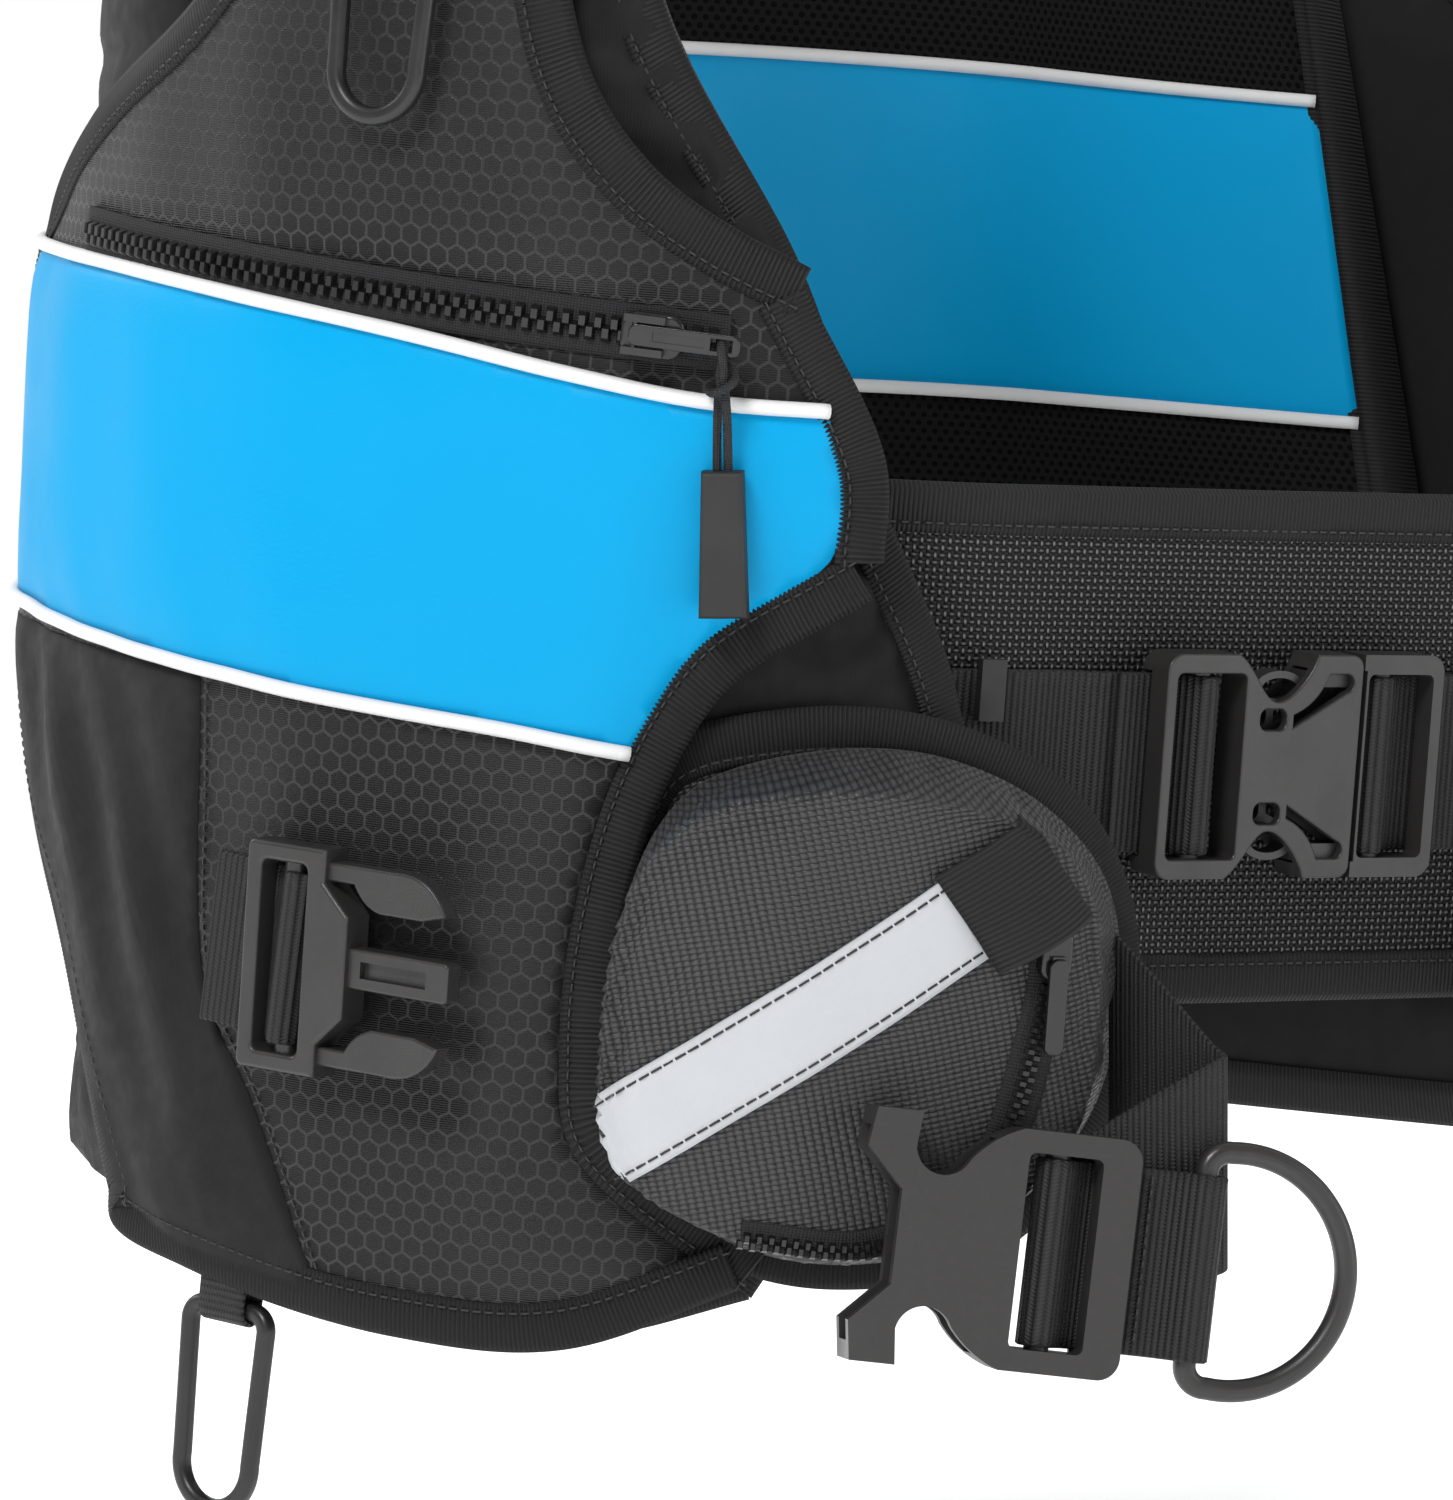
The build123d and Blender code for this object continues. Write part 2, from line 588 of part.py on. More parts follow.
# ---- weight pocket, pouch and release strap ---------------------------------------------------
SLEEVE_R = (194.5, 196.6)
SLEEVE = [(-40, -92), (-40.5, -20), (-37, 20), (-27, 33), (-15, 33), (-3, 16), (3.2, -9),
          (5.6, -40), (4, -75), (-6, -112), (-20, -122), (-30, -115), (-40, -92)]
POUCH = [(-37.5, -86), (-38, -20), (-34, 10), (-25, 23), (-15, 24), (-6, 12), (0.5, -10),
         (2.5, -40), (0.5, -74), (-9, -106), (-20, -115), (-30, -108), (-37.5, -86)]
POUCH_EDGE = 10.0
POUCH_ZIP_PHI = -8.5
POUCH_ZIP_H = -24.0
POUCH_SLIDER_LIFT = 2.1
STRAP_PIN = 1.5             # radius of the rolled end that the release strap swings about


def make_weights():
    sleeve = wall(*SLEEVE_R, -42, 8, -150, 60) & outline([SLEEVE], -18, SLEEVE_R[1])
    sleeve = lean(sleeve)
    keep("weight_pockets", sleeve, mirrored(sleeve))
    pouch = wall(*POUCH_R, -42, 8, -150, 60) & outline([POUCH], -18, 215)
    front = pouch.edges().filter_by(lambda e: e.geom_type != GeomType.LINE)
    front = front.filter_by(lambda e: rim_radius(e) > POUCH_R[1] - 1)
    keep_pair("weight_pouch", lean(soften(pouch, front, POUCH_EDGE)))

    slider = slab(RectangleRounded(9, 14, 3), 4, 1)
    slider += Pos(0, -14, 3.0) * slab(RectangleRounded(5.5, 26, 2), 1.8, 0.6)
    slider += Pos(0, -3, 2.0) * Box(4, 5, 2.4)
    at = facing(POUCH_ZIP_PHI, POUCH_R[1] + POUCH_SLIDER_LIFT, POUCH_ZIP_H).location
    keep_pair("pouch_slider", lean(at * slider))


def rim_radius(edge):
    """An edge's distance from the right lobe's own axis."""
    point = edge @ 0.5
    return sqrt((point.X + LOBE_X) ** 2 + point.Y ** 2)


STRAP_TOP = (-52.0, -192.0)         # where the strap leaves the back of the pouch, in plan
STRAP_TOP_Z = -108.0                # its lower edge there
SOCKET_AT = (-132.5, -226.9, -133.0)    # the socket's bar
STRAP_ALONG = (0.9445, -0.3284)     # the level strap's run in plan, away from the socket
STRAP_SLOPE = -7.0                  # and how it dips on the way, in degrees
SEAM_AT = 30.5                      # the hanging strap is sewn on this far from the bar
RING_AT = 42.5                      # and the ring's bar is here
RING_TURN = 3.9                     # inner radius of the webbing round the ring's bar
STRAP_RING = (28.6, 36.0, 6.0)      # half height and reach of the ring's hole, and its wire


def level_strap():
    """The level strap's frame at the socket's bar: X towards the mouth, Z away from the wearer."""
    dx, dy = STRAP_ALONG
    flat, drop = cos(radians(STRAP_SLOPE)), sin(radians(STRAP_SLOPE))
    return Plane(origin=SOCKET_AT, x_dir=(-dx * flat, -dy * flat, -drop), z_dir=(dy, -dx, 0))


def hanging_strap():
    """The band that comes down from behind the pouch to its seam on the level strap."""
    seam = level_strap().from_local_coords(Vector(-SEAM_AT, 0, LAYERS[0] - WEB_T / 2))
    run = Vector(seam.X - STRAP_TOP[0], seam.Y - STRAP_TOP[1], 0)
    low = seam.Z - WEB_W / 2
    corners = [(0, STRAP_TOP_Z), (run.length, low), (run.length, low + WEB_W),
               (0, STRAP_TOP_Z + WEB_W)]
    face = make_face(Polyline(*corners, close=True).edges())
    plane = Plane(origin=(*STRAP_TOP, 0), x_dir=run, z_dir=run.cross(Vector(0, 0, 1)))
    seam_line = Pos(seam.X, seam.Y, seam.Z) * Cylinder(2.2, WEB_W)
    rolled_end = Pos(*STRAP_TOP, STRAP_TOP_Z + WEB_W / 2) * Cylinder(STRAP_PIN, WEB_W)
    return plane.location * slab(face, WEB_T) + seam_line + rolled_end


def make_strap():
    at = level_strap().location
    keep_pair("strap_buckle", at * Pos(-HOOK_BAR, 0, 0) * hooked_socket())
    ring_at = Pos(-RING_AT, 0, sum(LAYERS) / 2)
    turned = Rot(90, 0, 0) * Cylinder(RING_TURN + WEB_T, WEB_W)
    level = webbing_loop(RING_AT) + ring_at * turned
    level -= ring_at * Rot(90, 0, 0) * Cylinder(RING_TURN, WEB_W + 2)
    keep_pair("weight_strap", at * level + hanging_strap())

    half, reach, wire = STRAP_RING
    hole = [Line((0, -half), (0, half)), Line((0, half), (-4, half)),
            ThreePointArc((-4, half), (-reach, 0), (-4, -half)), Line((-4, -half), (0, -half))]
    ring = Pos(-wire / 2, 0, 0) * ring_of(Face(Wire(hole)), wire, wire)
    keep_pair("strap_ring", at * ring_at * ring)


# ---- pocket clip and its webbing ------------------------------------------------------------
CLIP_PHI, CLIP_H = -62.5, -43.0


def make_clip():
    at = facing(CLIP_PHI, POCKET_R[1] + 9.0, CLIP_H, -4).location
    clip = lean(at * Pos(-CLIP_BAR, 0, 0) * clip_plug())
    keep("pocket_clips", clip, mirrored(clip))
    tab = lean(at * webbing_loop(30, 47))
    keep("clip_webbing", tab, mirrored(tab))


# ---- rings ----------------------------------------------------------------------------------
RING_WIRE = 5.0
RING_HALF = 11.5
RING_LONG = 56.0


def hanging_ring():
    """A long ring of round wire that hangs down from its straight bar at the origin."""
    a, b = RING_HALF, RING_LONG - RING_WIRE
    hole = [Line((-a, 0), (a, 0)), Line((a, 0), (a - 1.5, -b + 11)),
            ThreePointArc((a - 1.5, -b + 11), (0, -b), (-a + 1.5, -b + 11)),
            Line((-a + 1.5, -b + 11), (-a, 0))]
    return Pos(0, -RING_WIRE / 2, 0) * ring_of(Face(Wire(hole)), RING_WIRE, RING_WIRE)


def ring_tab(length):
    """A loop of narrow webbing round the ring's bar, sewn down above it."""
    inner, thick, width = RING_WIRE / 2 + 0.3, 1.6, 2 * RING_HALF - 6
    outer = Rot(0, 90, 0) * Cylinder(inner + thick, width)
    outer += Pos(0, length / 2, -inner - thick / 2) * Box(width, length, thick)
    outer += Pos(0, length / 2, inner + thick / 2) * Box(width, length, thick)
    outer -= Rot(0, 90, 0) * Cylinder(inner, width + 2)
    return outer - Pos(0, length / 2, 0) * Box(width + 2, length + 2, 2 * inner)


CHEST_RING = (-60.3, POCKET_R[1] + 5.2, 240.0)
HEM_RING = (-70.0, (POCKET_R[0] + POCKET_R[1]) / 2 - 3, -146.0)


def hanging(phi, radius, height):
    """At a ring's bar: X along the bar, Y as near upright as the bar allows, Z outward."""
    bar = (FRONT.location * facing(phi, radius, height).location).position
    x_dir = Vector(*FRONT.x_dir) * cos(radians(phi)) + Vector(*FRONT.y_dir) * sin(radians(phi))
    return Plane(origin=bar, x_dir=x_dir, z_dir=x_dir.cross(Vector(0, 0, 1)))


def make_rings():
    hem = hanging(*HEM_RING).location
    keep_pair("chest_ring", hanging(*CHEST_RING).location * hanging_ring())
    keep_pair("hem_ring", hem * hanging_ring())
    tabs = [lean(facing(*CHEST_RING).location * ring_tab(21)), hem * ring_tab(7)]
    keep("ring_tabs", *tabs, *[mirrored(t) for t in tabs])


# ---- cummerbund and waist belt ---------------------------------------------------------------
BELT_IN = BELT_R + 4.6
BUCKLE_X = -62.0            # rear edge of the waist socket
BUCKLE_OFF = BELT_IN + WEB_T + BUCKLE_T / 2 + 1.7
BELT_TAIL = 48.0


def straight(x_a, x_b, r_in, thick, low, high):
    """A flat run across the front, between the two lobes' centres."""
    return Pos((x_a + x_b) / 2, -r_in - thick / 2, (low + high) / 2) * Box(
        x_b - x_a, thick, high - low)


def make_waist():
    low, high = CUMMERBUND_H
    curve = wall(BELT_R, BELT_R + 4, -96, 0, low, high)
    right = curve + straight(-LOBE_X - 0.01, SEAM_X, BELT_R, 4, low, high)
    left = mirrored(curve) + straight(SEAM_X + 1.5, LOBE_X + 0.01, BELT_R, 4, low, high)
    keep("right_cummerbund", lean(right))
    keep("left_cummerbund", lean(left))

    low, high = BELT_H - WEB_W / 2, BELT_H + WEB_W / 2
    socket_bar = BUCKLE_X + CONTOUR_BAR
    flat = Plane(origin=(socket_bar, -BUCKLE_OFF, BELT_H), x_dir=(1, 0, 0), z_dir=(0, -1, 0))
    plug_bar = BUCKLE_X + CONTOUR_MATED - CONTOUR_PLUG_BAR
    facing_it = Plane(origin=(plug_bar, -BUCKLE_OFF, BELT_H), x_dir=(-1, 0, 0), z_dir=(0, -1, 0))
    socket = flat.location * Pos(-CONTOUR_BAR, 0, 0) * contour_socket()
    plug = facing_it.location * Pos(-CONTOUR_PLUG_BAR, 0, 0) * contour_plug()
    keep("waist_buckle_socket", lean(socket))
    keep("waist_buckle_plug", lean(plug))

    curve = wall(BELT_IN, BELT_IN + WEB_T, -58, 0, low, high)
    start = socket_bar - 26
    near, far = BUCKLE_OFF + LAYERS[1], BUCKLE_OFF + LAYERS[0]
    step = [(-LOBE_X - 0.5, -BELT_IN - WEB_T), (-LOBE_X - 0.5, -BELT_IN),
            (start + 0.5, -far), (start + 0.5, -near)]
    ramp = Pos(0, 0, low) * extrude(make_face(Polyline(*step, close=True).edges()), WEB_W,
                                    dir=(0, 0, 1))
    right_belt = curve + ramp + flat.location * webbing_loop(26)
    left_belt = mirrored(curve) + straight(64, LOBE_X + 0.01, BELT_IN, WEB_T, low, high)
    keep("waist_belt", lean(right_belt), lean(left_belt))
    keep("waist_tail", lean(facing_it.location * webbing_loop(BELT_TAIL)))

    keeper = wall(BELT_IN + WEB_T + 0.3, BELT_IN + WEB_T + 3.3, -7.7, -5.2, high - 14, high + 3)
    keeper = lean(keeper)
    keep("belt_keepers", keeper, mirrored(keeper))


# ---- shoulders -------------------------------------------------------------------------------
SHOULDER_FROM = (-95.0, 148.0)
SHOULDER_DIR = (-0.4888, -0.8724)
SHOULDER_PAD = (62.0, 9.0)
SHOULDER_PATH = [(14, 401), (24, 434), (66, 458), (126, 454), (200, 420), (258, 368), (292, 326)]
CLIP_DOWN = (0.58, -0.8146)          # down the front of the shoulder: along the strap, and up
SHOULDER_BAR = (284.4, 357.7)        # the plug's bar, in front of the pad's end
SHOULDER_SCALE = 0.8                 # the shoulder buckles take 40 mm webbing
SHOULDER_WEB = 47.0
SEWN_PHI = -57.0                     # where the lower webbing is sewn to the lobe


def shoulder_plane():
    """X runs along the strap's plan, Y is up."""
    dx, dy = SHOULDER_DIR
    return Plane(origin=(*SHOULDER_FROM, 0), x_dir=(dx, dy, 0), z_dir=(dy, -dx, 0))


def clip_plane(along, flip=False):
    """A plane on the shoulder buckle: X down the strap, Z outward."""
    plane = shoulder_plane()
    t = SHOULDER_BAR[0] + along * CLIP_DOWN[0]
    z = SHOULDER_BAR[1] + along * CLIP_DOWN[1]
    origin = plane.from_local_coords(Vector(t, z, 0))
    down = (plane.x_dir * CLIP_DOWN[0] + Vector(0, 0, CLIP_DOWN[1])).normalized()
    out = (plane.x_dir * -CLIP_DOWN[1] + Vector(0, 0, CLIP_DOWN[0])).normalized()
    return Plane(origin=origin, x_dir=-down if flip else down, z_dir=out)


def make_shoulders():
    wide, thick = SHOULDER_PAD
    strip = trace(Spline(*SHOULDER_PATH), thick)
    pad = extrude(strip, wide / 2, both=True)
    pad = shoulder_plane().location * pad
    keep("shoulder_straps", pad, mirrored(pad))

    small = SHOULDER_SCALE
    plug_at = clip_plane(0).location
    keep_pair("shoulder_plug", plug_at * Pos(-CLIP_BAR * small, 0, 0) * clip_plug().scale(small))
    keep_pair("shoulder_tail", plug_at * webbing_loop(34, SHOULDER_WEB).scale(small))
    mated = (HOOK_MATED - CLIP_BAR - HOOK_BAR) * small
    socket_at = clip_plane(mated, flip=True)
    socket = socket_at.location * Pos(-HOOK_BAR * small, 0, 0) * hooked_socket().scale(small)
    keep("shoulder_buckle_sockets", socket, mirrored(socket))
    lower = socket_at.location * webbing_loop(22, SHOULDER_WEB).scale(small)
    width = SHOULDER_WEB * small
    start = socket_at.location * Pos(-17, 0, sum(LAYERS) / 2 * small)
    start = start * Rot(0, -90, 0) * Rectangle(3.4, width)
    sewn = FRONT.location * facing(SEWN_PHI, LOBE_R[1] + 1.4, 300).location
    finish = sewn * Rot(90, 0, 0) * Rectangle(width, 2.4)
    lower += loft([start.face(), finish.face()])
    lower += sewn * Pos(0, -16, 0) * Box(width, 32.2, 2.4)
    keep("shoulder_webbing", lower, mirrored(lower))


# ---- inflator port ----------------------------------------------------------------------------
PORT_PLANE = Plane(origin=(128, BACK_Y, 338), x_dir=(-1, 0, 0), z_dir=(0, 1, 0))


def make_port():
    at = PORT_PLANE.location
    flange = Pos(0, 0, -1) * Cylinder(19, 6) + Pos(0, 0, 4) * Cylinder(15, 5)
    flange -= Pos(0, 0, 3) * Cylinder(9.05, 20)
    keep("inflator_port", at * flange)
    elbow = Pos(0, 0, 6) * Cylinder(9, 15) + Pos(0, 0, 15) * Sphere(12)
    elbow += Pos(-16, 0, 17) * Rot(0, 90, 0) * Cylinder(10.5, 26)
    for step in range(3):
        elbow += Pos(-18 - 4 * step, 0, 17) * Rot(0, 90, 0) * Cylinder(12, 1.6)
    elbow = elbow & Pos(0, 0, 30) * Box(100, 60, 63)
    keep("inflator_elbow", at * Rot(0, 0, -50) * elbow)


# ---- build ------------------------------------------------------------------------------------
make_back()
make_valve()
make_plate()
make_handle()
make_band()
make_lobe()
make_pocket()
make_band_panel()
make_zips()
make_pull()
make_weights()
make_strap()
make_clip()
make_rings()
make_waist()
make_shoulders()
make_port()

os.makedirs("parts", exist_ok=True)
for name, solids in parts.items():
    export_step(solids[0] if len(solids) == 1 else Compound(children=solids), f"parts/{name}.step")
print(len(parts), "nodes")
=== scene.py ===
"""Buoyancy compensator vest: cloth, seams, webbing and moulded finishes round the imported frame.

Outlines are in millimetres in the vest's own frame, as the CAD model draws them: on a front
lobe a point is (phi, h), with phi in degrees round the lobe's axis, 0 straight ahead and -90
at the wearer's right side, and h up the leaning front.  Meshes are made in metres, in the row frame.
"""

import json
import math

import bpy
import numpy as np
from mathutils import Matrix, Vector
from mathutils.geometry import delaunay_2d_cdt
from mathutils.kdtree import KDTree


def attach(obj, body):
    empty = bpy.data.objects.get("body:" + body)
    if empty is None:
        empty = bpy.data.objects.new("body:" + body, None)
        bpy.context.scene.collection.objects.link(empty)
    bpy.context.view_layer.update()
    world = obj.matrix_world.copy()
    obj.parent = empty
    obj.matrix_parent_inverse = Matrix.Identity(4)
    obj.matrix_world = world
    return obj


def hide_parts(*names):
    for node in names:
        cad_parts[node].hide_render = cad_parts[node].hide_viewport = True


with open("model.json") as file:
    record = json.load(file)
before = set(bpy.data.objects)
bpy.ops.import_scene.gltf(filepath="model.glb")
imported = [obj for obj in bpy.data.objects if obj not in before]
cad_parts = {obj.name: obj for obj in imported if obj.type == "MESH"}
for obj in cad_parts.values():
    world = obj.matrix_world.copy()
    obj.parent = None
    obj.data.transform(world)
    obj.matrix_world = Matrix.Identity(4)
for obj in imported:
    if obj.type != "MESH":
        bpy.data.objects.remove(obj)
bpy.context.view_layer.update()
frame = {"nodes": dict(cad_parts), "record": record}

# ---- driving dimensions, in millimetres ----
MM = 0.001
TANK_Y, TANK_Z = 262.0, 120.0
BODY_Y, LOBE_X = 5.0, 92.0
LEAN = math.radians(7.5)
LOBE_R = (170.0, 194.0)
POCKET_R = (197.0, 208.0)
SLEEVE_R = (194.5, 196.6)
POUCH_R = (201.0, 233.0)
BELT_R = 163.0
BELT_H = 19.5
BELT_IN = 167.6
WEB_W, WEB_T = 50.0, 2.0
CUMMERBUND_H = (-49.0, 94.0)
SEAM_X = 75.0
SHELL = (190.0, 150.0)
SHELL_WALL = 18.0
SHELL_FRONT_Y = -14.0
PAD_T = 20.0
TAPE_W = 13.0            # binding tape, folded over an edge
TAPE_T = 0.9
RIB = 1.36               # its ribs
PIPING_R = 2.1
DEGREE = math.radians(1) * POCKET_R[1]    # a degree of phi as millimetres on the pocket

LOBE_FRONT = [(-26, -128), (-14, -60), (-10, 0), (-12, 40), (-20, 92), (-28, 152), (-41, 220), (-47, 300)]
LOBE_ARM = [(-67, 300), (-76, 245), (-90, 205), (-106, 180)]
LOBE_HEM = [(-106, -122), (-84, -130), (-54, -143), (-40, -142), (-26, -128)]
EDGE_LOW = [(-27.5, -122), (-40.5, -88), (-42, -60), (-41.4, -20), (-38.7, 18), (-33.7, 49), (-23, 76)]
EDGE_HIGH = [(-23, 76), (-22.5, 100), (-28, 147)]
NECK = [(-28, 147), (-34, 156), (-40.5, 170), (-46, 192), (-49, 218), (-51, 262)]
ARM = [(-70, 262), (-82, 211), (-96, 181), (-116, 139)]
SIDE = [(-116, 139), (-117, 80), (-114, 20), (-94, -59), (-84, -121)]
HEM = [(-84, -121), (-83.5, -129), (-74, -136), (-54, -144), (-40.6, -142), (-27.5, -122)]
BAND_LOW = [(-115, 38), (-78.5, 31), (-62.8, 27.3), (-48, 24), (-38.4, 20)]
BAND_FRONT = [(-38.4, 20), (-33.7, 49), (-24.3, 76), (-23.8, 95), (-25.4, 114)]
BAND_HIGH = [(-25.4, 115), (-35, 115.8), (-45.6, 120.7), (-58.7, 127.5), (-88, 136), (-116.4, 138)]
GUSSET_SEAM = [(-74.8, 28), (-74.1, -14.7), (-72.6, -55.6), (-67, -85.9), (-59.7, -140)]
SLEEVE = [(-40, -92), (-40.5, -20), (-37, 20), (-27, 33), (-15, 33), (-3, 16), (3.2, -9),
          (5.6, -40), (4, -75), (-6, -112), (-20, -122), (-30, -115)]
POUCH = [(-37.5, -86), (-38, -20), (-34, 10), (-25, 23), (-15, 24), (-6, 12), (0.5, -10),
         (2.5, -40), (0.5, -74), (-9, -106), (-20, -115), (-30, -108)]


# ---- places ----
def design(x, y, z):
    """Points of the vest's own frame as row-frame metres."""
    x, y, z = np.broadcast_arrays(x, y, z)
    return np.stack([x, y - TANK_Y, z - TANK_Z], -1).astype(float) * MM


def place(x, y, h):
    """Points of the leaning front frame as row-frame metres."""
    x, y, h = np.broadcast_arrays(x, y, h)
    s, c = math.sin(LEAN), math.cos(LEAN)
    return design(x, BODY_Y + c * y - s * h, s * y + c * h)


def on_lobe(s, h, rho):
    """Points at radius rho on the right lobe; s is millimetres round it at the pocket's face."""
    a = np.radians(s / DEGREE)
    return place(-LOBE_X + rho * np.sin(a), -rho * np.cos(a), h)


def curve(anchors, step, closed=False):
    """Evenly spaced (s, h) points along a smooth curve through (phi, h) anchors."""
    p = np.array([(phi * DEGREE, h) for phi, h in anchors], float)
    return even(p, step, closed)


def even(p, step, closed=False):
    """Evenly spaced points along a smooth curve through the points p, of any dimension."""
    if closed:
        p = np.vstack([p[-1], p, p[0], p[1]])
    else:
        p = np.vstack([2 * p[0] - p[1], p, 2 * p[-1] - p[-2]])
    knots = np.r_[0, np.cumsum(np.sqrt(np.linalg.norm(np.diff(p, axis=0), axis=1)))]
    dense = []
    for i in range(1, len(p) - 2):
        t0, t1, t2, t3 = knots[i - 1:i + 3]
        t = np.linspace(t1, t2, 40, endpoint=False)[:, None]
        a1 = (t1 - t) / (t1 - t0) * p[i - 1] + (t - t0) / (t1 - t0) * p[i]
        a2 = (t2 - t) / (t2 - t1) * p[i] + (t - t1) / (t2 - t1) * p[i + 1]
        a3 = (t3 - t) / (t3 - t2) * p[i + 1] + (t - t2) / (t3 - t2) * p[i + 2]
        b1 = (t2 - t) / (t2 - t0) * a1 + (t - t0) / (t2 - t0) * a2
        b2 = (t3 - t) / (t3 - t1) * a2 + (t - t1) / (t3 - t1) * a3
        dense.append((t2 - t) / (t2 - t1) * b1 + (t - t1) / (t2 - t1) * b2)
    dense = np.vstack([*dense, p[-2]])
    return resample(dense, step, closed)


def resample(p, step, closed=False):
    """Points every step along straight runs between the points p."""
    run = np.r_[0, np.cumsum(np.linalg.norm(np.diff(p, axis=0), axis=1))]
    count = max(2, int(round(run[-1] / step)) + 1)
    at = np.linspace(0, run[-1], count)
    out = np.stack([np.interp(at, run, p[:, k]) for k in range(p.shape[1])], 1)
    return out[:-1] if closed else out


def inside(points, loop):
    """Which points lie inside a closed loop."""
    x, y = points[:, :1], points[:, 1:2]
    x0, y0 = loop.T
    x1, y1 = np.roll(loop, -1, 0).T
    crosses = (y0 > y) != (y1 > y)
    safe = np.where(np.abs(y1 - y0) < 1e-9, 1e-9, y1 - y0)
    return (crosses & (x < (x1 - x0) * (y - y0) / safe + x0)).sum(1) % 2 == 1


def edge_distance(points, loop):
    """Each point's distance from a closed loop's line."""
    a, b = loop[None], np.roll(loop, -1, 0)[None]
    d = b - a
    p = points[:, None]
    t = np.clip(((p - a) * d).sum(-1) / np.maximum((d * d).sum(-1), 1e-9), 0, 1)
    return np.sqrt((((a + t[..., None] * d) - p) ** 2).sum(-1)).min(1)


def ripple(s, h, size, waves):
    """Low folds in cloth: a sum of slanted waves, each (along s, along h, phase) per millimetre."""
    total = sum(np.sin(a * s + b * h + c) for a, b, c in waves)
    return size * total / len(waves)


# ---- meshes ----
def mesh_object(name, points, faces, uv, material, mirror=False, smooth=True):
    """A mesh of points in metres; uv are metres along the cloth, one pair for each point."""
    points = np.array(points, float)
    if mirror:
        points = points * np.array([-1.0, 1.0, 1.0])
        faces = [tuple(reversed(f)) for f in faces]
    mesh = bpy.data.meshes.new(name)
    mesh.from_pydata(points.tolist(), [], faces)
    if uv is not None:
        layer = mesh.uv_layers.new(name="cloth")
        index = np.empty(len(mesh.loops), np.int32)
        mesh.loops.foreach_get("vertex_index", index)
        layer.data.foreach_set("uv", np.asarray(uv, np.float32)[index].ravel())
    mesh.materials.append(material)
    mesh.polygons.foreach_set("use_smooth", [smooth] * len(mesh.polygons))
    mesh.validate()
    piece = bpy.data.objects.new(name, mesh)
    bpy.context.scene.collection.objects.link(piece)
    return piece


def panel(loop, spacing, front, back):
    """A closed pad inside a loop of (s, h); front and back give radii from s, h and edge distance."""
    area = np.sum(loop[:, 0] * np.roll(loop[:, 1], -1) - np.roll(loop[:, 0], -1) * loop[:, 1])
    loop = loop if area > 0 else loop[::-1]
    lo, hi = loop.min(0), loop.max(0)
    rows = np.arange(lo[1], hi[1], spacing * 0.87)
    grid = np.array([(x + (spacing / 2 if k % 2 else 0), y)
                     for k, y in enumerate(rows) for x in np.arange(lo[0], hi[0], spacing)])
    grid = grid[inside(grid, loop)]
    grid = grid[edge_distance(grid, loop) > 0.6 * spacing]
    flat = np.vstack([loop, grid])
    n = len(loop)
    rim = [(i, (i + 1) % n) for i in range(n)]
    verts, _, faces, *_ = delaunay_2d_cdt([Vector(p) for p in flat], rim, [], 1, 1e-5)
    flat = np.array(verts)
    d = edge_distance(flat, loop)
    s, h = flat.T
    return close_slab(on_lobe(s, h, front(s, h, d)), on_lobe(s, h, back(s, h, d)),
                      [tuple(f) for f in faces], flat * MM)


def close_slab(front, back, faces, uv):
    """Front and back surfaces with the same faces, joined round their open rim."""
    n = len(front)
    edges = {}
    for f in faces:
        for a, b in zip(f, f[1:] + f[:1]):
            edges[(a, b)] = edges.get((b, a), 0) == 0
    rim = [(a, b) for (a, b) in edges if (b, a) not in edges]
    all_faces = faces + [tuple(i + n for i in reversed(f)) for f in faces]
    all_faces += [(b, a, a + n, b + n) for a, b in rim]
    return np.vstack([front, back]), all_faces, np.vstack([uv, uv])


def grid_slab(front, back, lengths, heights):
    """A closed slab between two grids of points; lengths and heights place it on its cloth."""
    rows, columns = front.shape[:2]
    faces = [(i * columns + j, (i + 1) * columns + j, (i + 1) * columns + j + 1, i * columns + j + 1)
             for i in range(rows - 1) for j in range(columns - 1)]
    u, v = np.meshgrid(lengths, heights, indexing="ij")
    uv = np.stack([u, v], -1).reshape(-1, 2) * MM
    return close_slab(front.reshape(-1, 3), back.reshape(-1, 3), faces, uv)


def swept(rings, lengths, across, closed=False):
    """A closed tube through rings of points, capped unless it joins up with itself."""
    count, sides = rings.shape[:2]
    spans = count if closed else count - 1
    faces = []
    for i in range(spans):
        a, b = i * sides, ((i + 1) % count) * sides
        faces += [(a + j, a + (j + 1) % sides, b + (j + 1) % sides, b + j) for j in range(sides)]
    if not closed:
        faces += [tuple(reversed(range(sides))), tuple((count - 1) * sides + j for j in range(sides))]
    u, v = np.meshgrid(lengths, across, indexing="ij")
    return rings.reshape(-1, 3), faces, np.stack([u, v], -1).reshape(-1, 2) * MM


def run_length(points):
    return np.r_[0, np.cumsum(np.linalg.norm(np.diff(points, axis=0), axis=1))]


def unit(v):
    return v / np.maximum(np.linalg.norm(v, axis=-1, keepdims=True), 1e-12)


def flow(points, closed=False):
    """The unit direction along a line at each of its points."""
    return unit(np.roll(points, -1, 0) - np.roll(points, 1, 0) if closed else np.gradient(points, axis=0))


def ribbed(count, share):
    """Factors that swing either side of 1, one for each half rib of tape."""
    return 1 + share * np.where(np.arange(count) % 2, 1, -1)


